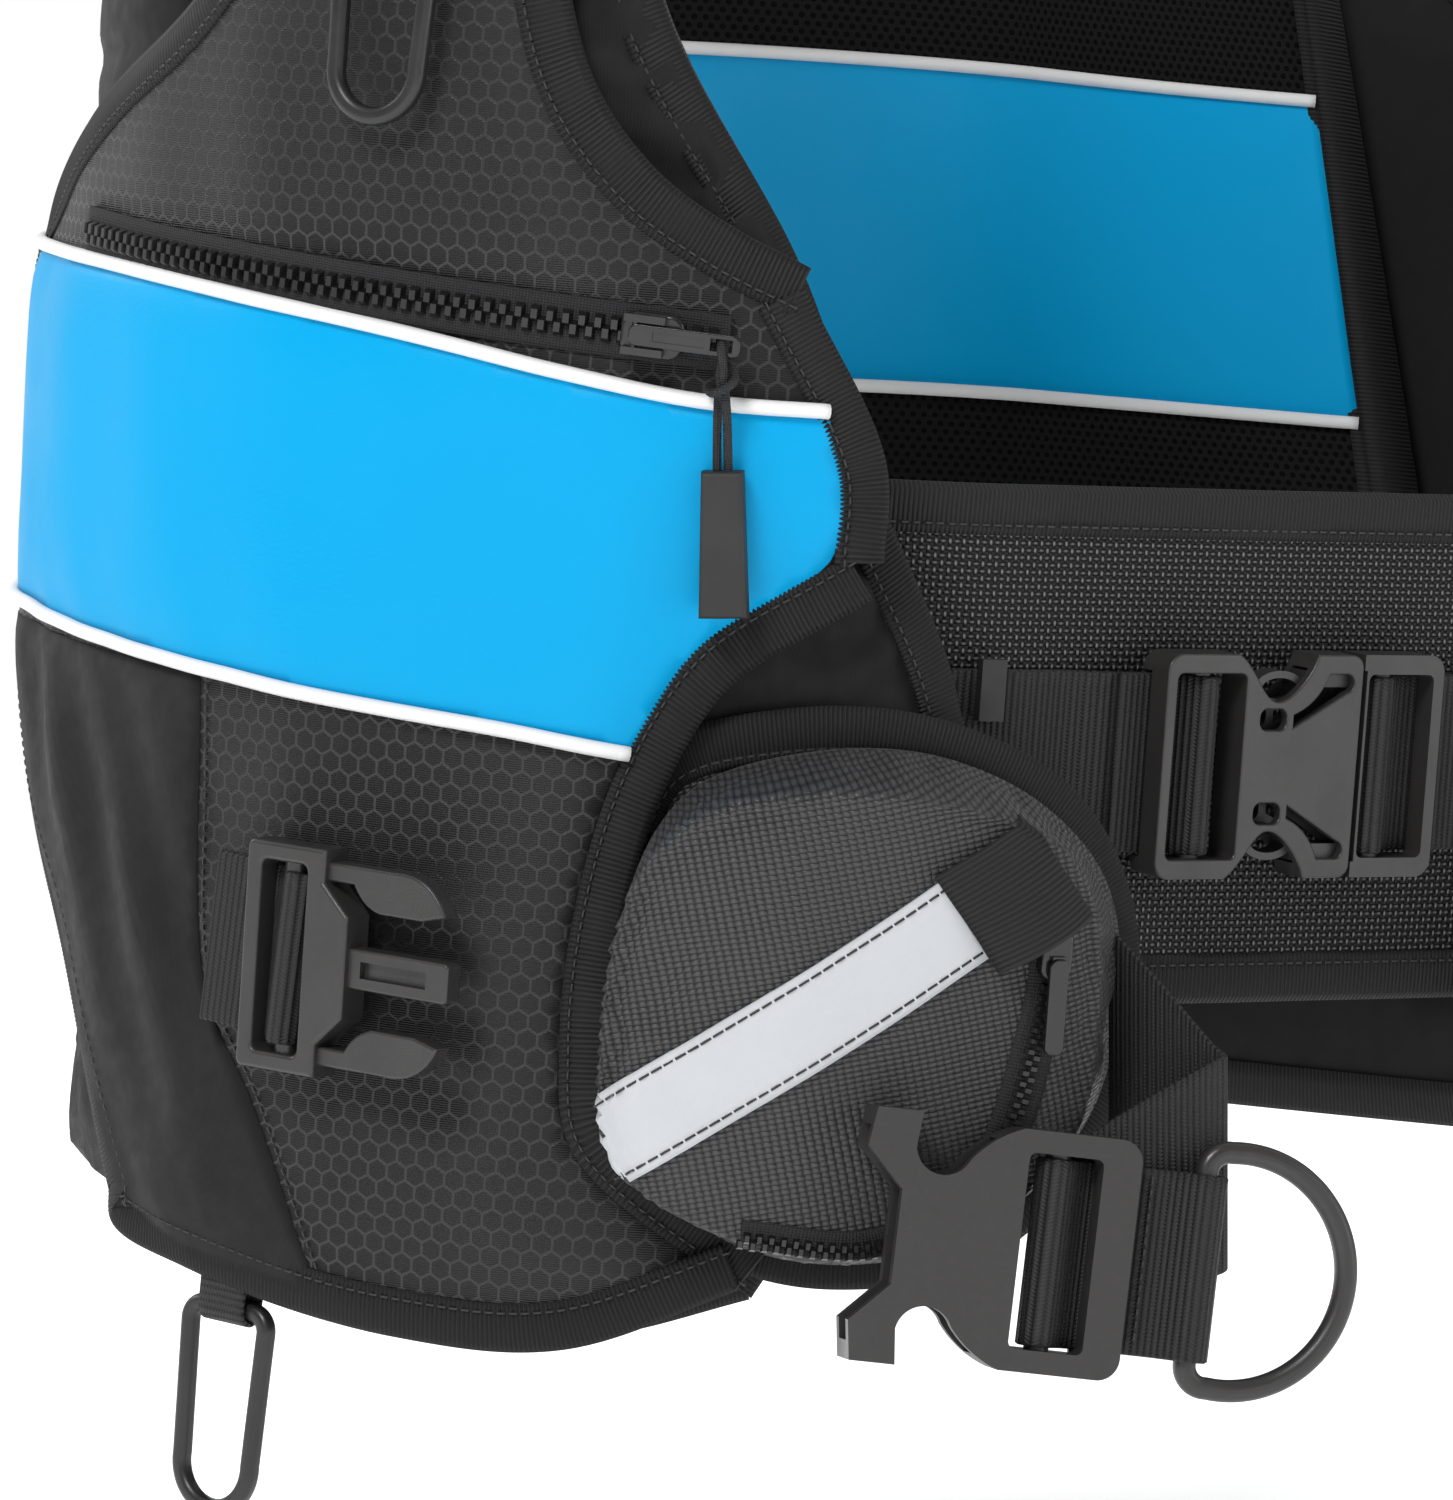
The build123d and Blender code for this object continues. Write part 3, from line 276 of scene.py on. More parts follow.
def binding(path, front, back, width=TAPE_W, closed=False):
    """Ribbed tape folded over an edge; the panel is to the left of the (s, h) path."""
    along = flow(path, closed)
    inward = np.stack([-along[:, 1], along[:, 0]], 1)
    ribs = ribbed(len(path), 0.28)
    section = [(width, 1, -0.4), (width, 1, 0.6), (width - 2.1, 1, 0.85), (width - 2.8, 1, 0.35),
               (width - 3.5, 1, 0.85), (width * 0.4, 1, 1.0), (1.2, 1, 1.0), (-0.9, 1, 0.1),
               (-0.9, 0, 0.1), (1.2, 0, 1.0), (width * 0.6, 0, 1.0), (width, 0, 0.6), (width, 0, -0.4)]
    rings = []
    for reach, outside, lift in section:
        q = path + inward * reach
        depth = np.full(len(path), max(reach, 0.0))
        surface = (front if outside else back)(q[:, 0], q[:, 1], depth)
        sign = 1 if outside else -1
        rings.append(on_lobe(q[:, 0], q[:, 1], surface + sign * TAPE_T * lift * ribs))
    rings = np.stack(rings, 1)
    across = [abs(reach) * (1 if outside else -1) for reach, outside, _ in section]
    return swept(rings, run_length(path), across, closed)


def tube(centre, radius, sides=10, closed=False):
    """A round tube along points in metres; radius is in millimetres."""
    along = flow(centre)
    side = np.cross(along, np.array([0.31, 0.27, 0.91]))
    side = unit(side)
    up = np.cross(along, side)
    turn = np.linspace(0, 2 * math.pi, sides, endpoint=False)
    rings = (centre[:, None] + radius * MM * (np.cos(turn)[None, :, None] * side[:, None]
                                              + np.sin(turn)[None, :, None] * up[:, None]))
    return swept(rings, run_length(centre) / MM, turn * radius, closed)


def join(*meshes):
    """Several (points, faces, uv) as one."""
    points, faces, uvs, start = [], [], [], 0
    for p, f, uv in meshes:
        points.append(p)
        uvs.append(uv)
        faces += [tuple(i + start for i in face) for face in f]
        start += len(p)
    return np.vstack(points), faces, np.vstack(uvs)


def beads(centres, along, out, size):
    """Small raised blocks with sloped tops, such as stitches or zip teeth; size is in millimetres."""
    length, wide, tall = size
    side = np.cross(out, along)
    corners = [(-1, -1, 0), (1, -1, 0), (1, 1, 0), (-1, 1, 0),
               (-0.6, -0.55, 1), (0.6, -0.55, 1), (0.6, 0.55, 1), (-0.6, 0.55, 1)]
    quads = [(0, 3, 2, 1), (4, 5, 6, 7), (0, 1, 5, 4), (1, 2, 6, 5), (2, 3, 7, 6), (3, 0, 4, 7)]
    points = np.concatenate([
        (centres + (a * length / 2 * along + b * wide / 2 * side + c * tall * out) * MM)[:, None]
        for a, b, c in corners], 1)
    faces = [tuple(8 * i + k for k in q) for i in range(len(centres)) for q in quads]
    return points.reshape(-1, 3), faces, np.zeros((8 * len(centres), 2))


def stitches(path, surface, pitch=3.4, length=2.3, lift=0.0):
    """A row of stitches along an (s, h) path on a surface of radii."""
    p = resample(path, pitch)
    along = flow(p)
    rho = surface(p[:, 0], p[:, 1], np.full(len(p), TAPE_W)) + lift
    at = on_lobe(p[:, 0], p[:, 1], rho)
    step = on_lobe(p[:, 0] + along[:, 0], p[:, 1] + along[:, 1], rho)
    out = unit(on_lobe(p[:, 0], p[:, 1], rho + 1) - at)
    return beads(at, unit(step - at), out, (length, 0.7, 0.45))


def inset(path, distance):
    """An (s, h) path moved to its left."""
    along = flow(path)
    return path + np.stack([-along[:, 1], along[:, 0]], 1) * distance


def both_sides(name, shape, material, nodes=(), body="vest", smooth=True):
    """The right piece and its mirror image, each riding on its own side's body."""
    made = []
    for side, flip in (("right", False), ("left", True)):
        piece = mesh_object(f"{side}_{name}", *shape, material, mirror=flip, smooth=smooth)
        settle(piece, [n.format(side=side) for n in nodes], body.format(side=side))
        made.append(piece)
    return made


def settle(piece, nodes=(), body="vest"):
    if nodes:
        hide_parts(*nodes)
    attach(piece, body)
    return piece


# ---- materials ----
class Finish:
    """A procedural material: a Principled surface with a colour, a roughness and a bump height."""

    def __init__(self, name, colour, rough, specular=0.5, sheen=0.0):
        self.material = bpy.data.materials.new(name)
        self.material.use_nodes = True
        self.tree = self.material.node_tree
        self.surface = self.tree.nodes["Principled BSDF"]
        self.surface.inputs["Base Color"].default_value = (*colour, 1)
        self.surface.inputs["Roughness"].default_value = rough
        self.surface.inputs["Specular IOR Level"].default_value = specular
        self.surface.inputs["Sheen Weight"].default_value = sheen
        self.surface.inputs["Sheen Roughness"].default_value = 0.45
        self.colour = colour

    def node(self, kind, inputs=(), **settings):
        made = self.tree.nodes.new(kind)
        for key, value in settings.items():
            setattr(made, key, value)
        for key, value in dict(inputs).items():
            self.set(made.inputs[key], value)
        return made

    def set(self, socket, value):
        if isinstance(value, bpy.types.NodeSocket):
            self.tree.links.new(value, socket)
        else:
            socket.default_value = value

    def math(self, operation, *values):
        made = self.node("ShaderNodeMath", operation=operation)
        for socket, value in zip(made.inputs, values):
            self.set(socket, value)
        return made.outputs[0]

    def cloth(self, u_pitch, v_pitch, turn=0.0):
        """The cloth's own u and v, counted in threads."""
        uv = self.node("ShaderNodeTexCoord").outputs["UV"]
        if turn:
            uv = self.node("ShaderNodeMapping", {"Vector": uv, "Rotation": (0, 0, turn)}).outputs[0]
        parts = self.node("ShaderNodeSeparateXYZ", {"Vector": uv})
        return (self.math("DIVIDE", parts.outputs[0], u_pitch * MM),
                self.math("DIVIDE", parts.outputs[1], v_pitch * MM))

    def space(self):
        return self.node("ShaderNodeTexCoord").outputs["Object"]

    def noise(self, scale, detail=3.0):
        return self.node("ShaderNodeTexNoise", {"Vector": self.space(), "Scale": scale,
                                                "Detail": detail}).outputs["Fac"]

    def ramp(self, value, low, high, out_low=0.0, out_high=1.0):
        made = self.node("ShaderNodeMapRange", {"Value": value, "From Min": low, "From Max": high,
                                                "To Min": out_low, "To Max": out_high})
        return made.outputs[0]

    def blend(self, factor, dark, light):
        made = self.node("ShaderNodeMix", data_type="RGBA")
        self.set(made.inputs["Factor"], factor)
        self.set(made.inputs["A"], (*dark, 1))
        self.set(made.inputs["B"], (*light, 1))
        return made.outputs["Result"]

    def paint(self, socket):
        self.tree.links.new(socket, self.surface.inputs["Base Color"])

    def roughen(self, socket):
        self.tree.links.new(socket, self.surface.inputs["Roughness"])

    def bump(self, height, millimetres, strength=1.0):
        before = self.surface.inputs["Normal"].links
        made = self.node("ShaderNodeBump", {"Height": height, "Distance": millimetres * MM,
                                            "Strength": strength})
        if before:
            self.tree.links.new(before[0].from_socket, made.inputs["Normal"])
        self.tree.links.new(made.outputs[0], self.surface.inputs["Normal"])


def dimmed(colour, share):
    return tuple(c * share for c in colour)


def weave_height(finish, u, v, fill=1.0):
    """Over-and-under threads: how high the cloth stands, and how far the upper thread is warp."""
    m = finish.math
    cell_u, cell_v = m("FLOOR", u), m("FLOOR", v)
    half_u = m("SUBTRACT", m("FRACT", u), 0.5)
    half_v = m("SUBTRACT", m("FRACT", v), 0.5)
    warp_round, weft_round = (
        m("MAXIMUM", m("SUBTRACT", 1.0, m("POWER", m("DIVIDE", half, 0.5 * fill), 2.0)), 0.0)
        for half in (half_u, half_v))
    over = m("COSINE", m("MULTIPLY", m("ADD", cell_u, cell_v), math.pi))
    threads = []
    for own_round, crossing, sign in ((warp_round, half_v, 0.5), (weft_round, half_u, -0.5)):
        arch = m("COSINE", m("MULTIPLY", crossing, math.pi))
        rise = m("MULTIPLY_ADD", arch, m("MULTIPLY", over, sign), 0.5)
        threads.append(m("MULTIPLY", m("SQRT", own_round), rise))
    return m("MAXIMUM", *threads), m("GREATER_THAN", *threads)


def plain_nylon(name="plain_nylon", colour=(0.0075, 0.0072, 0.0074)):
    f = Finish(name, colour, 0.62, 0.2, 0.03)
    u, v = f.cloth(0.55, 0.55, math.radians(38))
    twill = f.math("SINE", f.math("MULTIPLY", f.math("ADD", u, v), 2 * math.pi))
    f.bump(twill, 0.035)
    f.bump(f.noise(60, 5), 0.9, 0.35)
    f.paint(f.blend(f.noise(22), dimmed(colour, 0.8), dimmed(colour, 1.35)))
    f.roughen(f.ramp(f.noise(140), 0.3, 0.7, 0.52, 0.7))
    return f.material


def hex_nylon():
    """Jacquard: hexagons 6 by 7 mm, filled with fine level ribs, outlined by smooth lines."""
    colour = (0.0085, 0.0083, 0.0084)
    f = Finish("hex_nylon", colour, 0.5, 0.3, 0.02)
    m = f.math
    u, v = f.cloth(1.0, 1.0)
    wide, tall = 5.6, 6.6

    def to_centre(shift):
        a = m("SUBTRACT", m("FRACT", m("ADD", m("DIVIDE", u, wide), shift)), 0.5)
        b = m("SUBTRACT", m("FRACT", m("ADD", m("DIVIDE", v, 1.5 * tall), shift)), 0.5)
        a = m("ABSOLUTE", m("MULTIPLY", a, wide))
        b = m("ABSOLUTE", m("MULTIPLY", b, 1.5 * tall))
        slanted = m("ADD", m("MULTIPLY", a, 0.5), m("MULTIPLY", b, wide / tall))
        return m("MAXIMUM", a, slanted)

    nearest = m("MINIMUM", to_centre(0.0), to_centre(0.5))
    rim = f.ramp(nearest, wide / 2 - 0.5, wide / 2 - 0.2)
    ribs = m("SINE", m("MULTIPLY", v, 2 * math.pi / 0.62))
    inner = m("MULTIPLY", m("SUBTRACT", 1.0, rim), m("MULTIPLY_ADD", ribs, 0.5, 0.5))
    f.bump(m("ADD", inner, m("MULTIPLY", rim, 0.15)), 0.16)
    f.bump(f.noise(40, 3), 1.1, 0.25)
    f.roughen(m("MULTIPLY_ADD", rim, -0.16, 0.52))
    # painted sheen: the smooth outlines are the cloth's own pattern, but they are painted three times
    # lighter than the ribbed fill where they catch the light
    f.paint(f.blend(rim, dimmed(colour, 0.8), dimmed(colour, 3.0)))
    return f.material


def ballistic_nylon():
    colour = (0.0125, 0.0122, 0.013)
    f = Finish("ballistic_nylon", colour, 0.5, 0.45, 0.08)
    u, v = f.cloth(2.0, 1.45, math.radians(-14))
    height, warp = weave_height(f, u, v)
    f.bump(height, 0.6)
    # painted highlight and shade: thread tops painted up to 3.6 times lighter, the hollows between threads
    # painted nearly black
    f.paint(f.blend(f.ramp(height, 0.35, 0.95), dimmed(colour, 0.05), dimmed(colour, 3.6)))
    f.roughen(f.ramp(warp, 0, 1, 0.42, 0.56))
    return f.material


def open_mesh():
    """Coarse basket weave: pale grey dashes over dark gaps, the grey a painted highlight on the thread tops,
    the gaps painted near black as painted shade.
    """
    f = Finish("open_mesh", (0.01, 0.01, 0.01), 0.5, 0.25)
    u, v = f.cloth(2.05, 2.0)
    height, warp = weave_height(f, u, v, 0.62)
    f.bump(height, 0.9)
    # painted highlight and shade: colour runs from near black in the gaps to pale grey on the thread tops,
    # warp painted paler than weft
    light = f.blend(warp, (0.10, 0.10, 0.10), (0.16, 0.16, 0.158))
    top = f.ramp(height, 0.62, 0.98)
    made = f.node("ShaderNodeMix", {"Factor": top}, data_type="RGBA")
    f.set(made.inputs["A"], (0.0035, 0.0035, 0.0036, 1))
    f.set(made.inputs["B"], light)
    f.paint(made.outputs["Result"])
    return f.material


def air_mesh():
    """Spacer mesh with round holes in staggered rows."""
    f = Finish("air_mesh", (0.01, 0.01, 0.01), 0.8, 0.1)
    m = f.math
    u, v = f.cloth(4.2, 2.6)
    row = m("FLOOR", v)
    shifted = m("MULTIPLY_ADD", m("MODULO", m("ABSOLUTE", row), 2.0), 0.5, u)
    a = m("SUBTRACT", m("FRACT", shifted), 0.5)
    b = m("SUBTRACT", m("FRACT", v), 0.5)
    away = m("SQRT", m("ADD", m("POWER", m("MULTIPLY", a, 1.3), 2.0), m("POWER", b, 2.0)))
    hole = f.ramp(away, 0.26, 0.36)
    f.bump(hole, 0.9)
    # painted shade: the holes are painted near black against the cloth
    f.paint(f.blend(hole, (0.0004, 0.0004, 0.0004), (0.0075, 0.0075, 0.008)))
    return f.material


def coated(name, colour, rough, specular):
    """Smooth coated cloth with a faint pebble grain."""
    f = Finish(name, colour, rough, specular)
    f.bump(f.noise(900, 2), 0.12, 0.5)
    f.bump(f.noise(45, 2), 1.4, 0.22)
    f.paint(f.blend(f.noise(9, 1), dimmed(colour, 0.94), tuple(min(1, c * 1.04) for c in colour)))
    f.roughen(f.ramp(f.noise(30), 0.3, 0.7, rough - 0.06, rough + 0.08))
    return f.material


def webbing(name="webbing", colour=(0.0115, 0.0112, 0.0112), rib=1.9):
    """Heavy webbing: round ribs across its width, each a row of slanted stitches."""
    f = Finish(name, colour, 0.55, 0.28, 0.03)
    m = f.math
    v, u = f.cloth(rib, rib * 0.55)
    across = m("ABSOLUTE", m("SINE", m("MULTIPLY", v, math.pi)))
    lean_over = m("MODULO", m("ABSOLUTE", m("FLOOR", v)), 2.0)
    slant = m("MULTIPLY_ADD", lean_over, 2.0, -1.0)
    along = m("SINE", m("MULTIPLY", m("MULTIPLY_ADD", m("FRACT", v), slant, u), 2 * math.pi))
    height = m("MULTIPLY_ADD", along, 0.16, across)
    f.bump(height, 0.4)
    # painted highlight and shade: rib crests painted lighter, the grooves between them darker
    f.paint(f.blend(f.ramp(height, 0.1, 1.1), dimmed(colour, 0.3), dimmed(colour, 1.9)))
    return f.material


def binding_cloth():
    colour = (0.0095, 0.0093, 0.0094)
    f = Finish("binding_cloth", colour, 0.6, 0.25, 0.03)
    u, v = f.cloth(RIB, 0.5)
    rib = f.math("SINE", f.math("MULTIPLY", u, 2 * math.pi))
    thread = f.math("SINE", f.math("MULTIPLY", v, 2 * math.pi))
    f.bump(f.math("MULTIPLY_ADD", thread, 0.1, rib), 0.2)
    # painted highlight and shade: rib crests painted lighter, troughs darker
    f.paint(f.blend(f.ramp(rib, -1, 1), dimmed(colour, 0.45), dimmed(colour, 1.8)))
    return f.material


def moulded(name, colour, rough=0.42, grain=0.05):
    """Moulded plastic with a fine even grain, worn a little smoother in patches."""
    f = Finish(name, colour, rough, 0.5)
    f.bump(f.noise(2600, 2), grain, 0.8)
    f.roughen(f.ramp(f.noise(55), 0.3, 0.7, rough - 0.08, rough + 0.1))
    f.paint(f.blend(f.noise(400), dimmed(colour, 0.85), dimmed(colour, 1.2)))
    return f.material


def reflective():
    f = Finish("reflective_strip", (0.62, 0.64, 0.67), 0.5, 0.6)
    u, v = f.cloth(0.45, 0.45, math.radians(20))
    grain = f.math("SINE", f.math("MULTIPLY", f.math("ADD", u, v), 2 * math.pi))
    f.bump(grain, 0.03)
    # painted highlight and shade: the grain's ridges painted lighter, its hollows darker
    f.paint(f.blend(f.ramp(grain, -1, 1), (0.44, 0.455, 0.48), (0.54, 0.555, 0.58)))
    return f.material


def braided(colour=(0.01, 0.01, 0.0105)):
    f = Finish("braided_cord", colour, 0.6, 0.4)
    m = f.math
    where = f.node("ShaderNodeSeparateXYZ", {"Vector": f.space()})
    a = m("MULTIPLY", m("ADD", where.outputs[2], where.outputs[0]), 2 * math.pi / 0.0013)
    b = m("MULTIPLY", m("SUBTRACT", where.outputs[2], where.outputs[0]), 2 * math.pi / 0.0013)
    height = m("MULTIPLY", m("SINE", a), m("SINE", b))
    f.bump(height, 0.16)
    # painted highlight and shade: raised strands painted lighter, the hollows between them darker
    f.paint(f.blend(f.ramp(height, -1, 1), dimmed(colour, 0.4), dimmed(colour, 2.2)))
    return f.material


def knit_tape():
    f = Finish("knit_tape", (0.01, 0.01, 0.011), 0.7, 0.3)
    u, v = f.cloth(0.9, 0.75)
    height, _ = weave_height(f, u, v)
    f.bump(height, 0.3)
    # painted highlight and shade: thread tops painted lighter, the hollows near black
    f.paint(f.blend(height, (0.003, 0.003, 0.003), (0.019, 0.019, 0.021)))
    return f.material


PLAIN = plain_nylon()
HEX = hex_nylon()
BALLISTIC = ballistic_nylon()
MESH = open_mesh()
AIR = air_mesh()
BLUE = coated("blue_panel", (0.0, 0.31, 0.62), 0.42, 0.12)
WHITE = coated("white_piping", (0.74, 0.74, 0.74), 0.4, 0.3)
WEB = webbing()
BINDING = binding_cloth()
REFLECT = reflective()
CORD = braided()
KNIT = knit_tape()
THREAD = moulded("thread", (0.02, 0.02, 0.021), 0.5)
PLASTIC = moulded("buckle_plastic", (0.024, 0.0225, 0.022), 0.36, 0.06)
RUBBER = moulded("rubber", (0.011, 0.011, 0.0112), 0.6, 0.03)
TEETH = moulded("zip_teeth", (0.007, 0.007, 0.0075), 0.3, 0.01)
ZIP_METAL = moulded("zip_metal", (0.008, 0.008, 0.0085), 0.22, 0.008)
WIRE = moulded("ring_wire", (0.011, 0.011, 0.011), 0.38, 0.02)

CAD_FINISH = {"buckle_plastic": PLASTIC, "rubber": RUBBER, "zip_teeth": TEETH, "zip_metal": ZIP_METAL,
              "ring_wire": WIRE, "webbing": WEB, "cord": CORD}


def dress_cad():
    """Gives every CAD node that stays in view its moulded or metal finish."""
    for part in frame["record"]["subparts"]:
        finish = CAD_FINISH.get(part["material_slot"])
        node = frame["nodes"][part["node"]]
        if finish and not node.hide_render:
            node.data.materials.clear()
            node.data.materials.append(finish)


# ---- camera, light and floor ----
CAMERA_AT = (-1.2044, -2.0441, -0.120)
CAMERA_TURN = math.radians(32)
FLOOR_Z = -0.345
# name, place and target in metres, watts, width
LAMPS = [("key", (-2.3, -2.0, 2.0), (0, -0.25, 0), 72, 1.1),
         ("fill", (1.4, -2.6, 0.4), (0, -0.2, 0), 12, 1.4),
         ("rim", (-1.6, 1.8, 1.6), (0, 0, 0), 22, 1.2)]
FLOOR_R, FLOOR_GLOW = 9.0, 0.75


def make_camera():
    data = bpy.data.cameras.new("camera")
    data.lens, data.sensor_width = 171.0, 36.0
    data.clip_start, data.clip_end = 0.05, 50.0
    camera = bpy.data.objects.new("camera", data)
    camera.location = CAMERA_AT
    look = Vector((math.sin(CAMERA_TURN), math.cos(CAMERA_TURN), 0))
    camera.rotation_mode = "QUATERNION"
    camera.rotation_quaternion = look.to_track_quat("-Z", "Y")
    bpy.context.scene.collection.objects.link(camera)
    bpy.context.scene.camera = camera


def lamp(name, place_at, target, power, size):
    data = bpy.data.lights.new(name, "AREA")
    data.energy, data.shape, data.size = power, "DISK", size
    light = bpy.data.objects.new(name, data)
    light.location = place_at
    light.rotation_mode = "QUATERNION"
    light.rotation_quaternion = (Vector(target) - Vector(place_at)).to_track_quat("-Z", "Y")
    bpy.context.scene.collection.objects.link(light)


def make_studio():
    world = bpy.data.worlds.new("studio")
    world.use_nodes = True
    tree = world.node_tree
    # a tent of white cloth: bright beyond the vest, dimmer on the camera's side
    way = tree.nodes.new("ShaderNodeVectorMath")
    way.operation = "DOT_PRODUCT"
    tree.links.new(tree.nodes.new("ShaderNodeTexCoord").outputs["Generated"], way.inputs[0])
    way.inputs[1].default_value = (math.sin(CAMERA_TURN), math.cos(CAMERA_TURN), 0)
    level = tree.nodes.new("ShaderNodeMapRange")
    for key, value in {"From Min": -0.5, "From Max": 0.8, "To Min": 0.30, "To Max": 1.0}.items():
        level.inputs[key].default_value = value
    tree.links.new(way.outputs["Value"], level.inputs["Value"])
    tree.links.new(level.outputs[0], tree.nodes["Background"].inputs["Strength"])
    tree.nodes["Background"].inputs["Color"].default_value = (1, 1, 1, 1)
    bpy.context.scene.world = world
    bpy.context.scene.view_settings.view_transform = "Standard"
    for name, at, target, power, size in LAMPS:
        lamp(name, at, target, power, size)

    floor = Finish("floor", (0.86, 0.86, 0.86), 0.9, 0.1)
    floor.paint(floor.blend(floor.noise(2.0, 1), (0.85, 0.85, 0.85), (0.87, 0.87, 0.87)))
    floor.surface.inputs["Emission Color"].default_value = (1, 1, 1, 1)
    floor.surface.inputs["Emission Strength"].default_value = FLOOR_GLOW
    turn = np.linspace(0, 2 * math.pi, 64, endpoint=False)
    points = [(FLOOR_R * math.cos(t), FLOOR_R * math.sin(t), FLOOR_Z) for t in turn]
    mesh_object("floor", points, [tuple(range(len(turn)))], None, floor.material)


# ---- zip pull cords ----
ZIP_CENTRE = 138.0
ZIP_TILT = 3.4
ZIP_PHI = (-95.0, -33.0)
SLIDER_PHI = -38.5
SLIDER_R = POCKET_R[1] + 3.4
PULL_LEAN = 3.9
EYE_ALONG, EYE_UP = 19.0, 4.2        # the tab's eye, along the track from the slider and out
CORD_D = 2.4
# across the tab, up from its eye, out from the vest; the strands lie side by side lower down
CORD_ROUTE = [(-1.5, -33.0, 0.2), (-1.6, -21.0, -0.6), (-0.9, -8.0, -2.6), (0.0, 0.4, -2.6),
              (0.0, 0.4, 2.6), (0.9, -8.0, 3.0), (1.6, -21.0, 1.6), (1.5, -33.0, 0.6)]
HITCH = [(-3.2, -11.5, -2.2), (-3.6, -12.0, 0.6), (-2.2, -12.4, 4.0), (0.4, -11.6, 5.2),
         (3.0, -10.0, 4.4), (3.9, -8.4, 2.0), (3.0, -6.4, -0.8)]


def zip_frame():
    """The zip track's axes in the leaning frame: its X, Y and Z as rows."""
    drop, toward = math.radians(ZIP_TILT), math.radians(-66)
    z = np.array([math.sin(drop) * math.cos(toward), math.sin(drop) * math.sin(toward), math.cos(drop)])
    x = unit(np.array([z[2], 0, -z[0]]))
    return np.stack([x, np.cross(z, x), z])


def on_zip(phi, radius, across=0.0, up=0.0, out=0.0, turn=0.0):
    """Row-frame metres of points drawn on a plane of the zip track at phi."""
    a, t = np.radians(phi), math.radians(turn)
    along = np.stack([np.cos(a), np.sin(a), 0 * a], -1)
    normal = np.stack([np.sin(a), -np.cos(a), 0 * a], -1)
    x = np.asarray(across) * math.cos(t) - np.asarray(up) * math.sin(t)
    y = np.asarray(across) * math.sin(t) + np.asarray(up) * math.cos(t)
    local = (radius + np.asarray(out))[..., None] * normal + x[..., None] * along
    local = local + y[..., None] * np.array([0, 0, 1.0])
    at = local @ zip_frame() + np.array([-LOBE_X, 0, ZIP_CENTRE])
    return place(at[..., 0], at[..., 1], at[..., 2])


def on_pull(route):
    """Route points of the pull, whose X, Y and Z start at the tab's eye, as row-frame metres."""
    x, y, z = np.array(route, float).T
    turn = math.radians(ZIP_TILT + PULL_LEAN)
    across = x * math.cos(turn) - y * math.sin(turn) + EYE_ALONG
    up = x * math.sin(turn) + y * math.cos(turn)
    phi = np.full(len(x), SLIDER_PHI)
    return on_zip(phi, SLIDER_R, across, up, z + EYE_UP)


def spline_cord(name, points, radius, material):
    data = bpy.data.curves.new(name, "CURVE")
    data.dimensions = "3D"
    data.bevel_depth, data.bevel_resolution, data.use_fill_caps = radius, 4, True
    line = data.splines.new("NURBS")
    line.points.add(len(points) - 1)
    for point, co in zip(line.points, points):
        point.co = (*co, 1)
    line.order_u, line.use_endpoint_u, line.resolution_u = 3, True, 10
    data.materials.append(material)
    piece = bpy.data.objects.new(name, data)
    bpy.context.scene.collection.objects.link(piece)
    return piece


def make_cords():
    for side, sign in (("right", 1), ("left", -1)):
        flip = np.array([sign, 1, 1])
        route = on_pull(CORD_ROUTE) * flip
        cord = spline_cord(f"{side}_pull_braid", route, CORD_D / 2 * MM, CORD)
        hitch = spline_cord(f"{side}_pull_hitch", on_pull(HITCH) * flip, CORD_D / 2 * MM, CORD)
        settle(cord, [f"{side}_pull_cord"], f"{side}_pull")
        settle(hitch, (), f"{side}_pull")


make_camera()
make_cords()


# ---- front lobes and pockets ----
POCKET_WAVES = [(0.045, 0.012, 0.4), (0.082, -0.03, 2.1), (0.02, 0.05, 4.0), (0.13, 0.02, 1.0)]
LOBE_WAVES = [(0.05, 0.03, 1.0), (0.03, -0.06, 0.2), (0.09, 0.05, 2.6)]
FOLD_WAVES = [(0.16, 0.05, 0.0), (0.09, -0.04, 1.3), (0.21, 0.11, 4.2)]
AIR_PRESSURE, AIR_FRAMES = 4.0, 20


def zip_height(s):
    """How high the zip track runs, s millimetres round the lobe."""
    phi = np.linspace(ZIP_PHI[0] - 8, ZIP_PHI[1] + 8, 40)
    a = np.radians(phi)
    track = np.stack([np.sin(a), -np.cos(a), 0 * a], 1) @ zip_frame() * POCKET_R[1]
    round_it = np.degrees(np.arctan2(track[:, 0], -track[:, 1])) * DEGREE
    return ZIP_CENTRE + np.interp(s, round_it, track[:, 2])


def pocket_face(s, h, d):
    """The pocket's outer face: full in the middle, drawn in towards its bound edge and its zip."""
    full = 1 - np.exp(-d / 16)
    full = full * (1 - 0.55 * np.exp(-((h - zip_height(s)) / 11.0) ** 2))
    gusset = 1 / (1 + np.exp((s - -74 * DEGREE) / 9)) / (1 + np.exp((h - 25) / 12))
    return (203.4 + 5.2 * full + ripple(s, h, 1.5, POCKET_WAVES) * full
            + gusset * full * ripple(s, h, 3.2, FOLD_WAVES))


def pocket_back(s, h, d):
    return np.full(np.shape(s), POCKET_R[0] + 1.0) + 0 * s


def lobe_face(s, h, d):
    full = 1 - np.exp(-d / 22)
    return 184.5 + 9.0 * full + ripple(s, h, 1.2, LOBE_WAVES) * full


def lobe_back(s, h, d):
    full = 1 - np.exp(-d / 22)
    return 179.5 - 8.5 * full - ripple(s, h, 0.8, LOBE_WAVES) * full


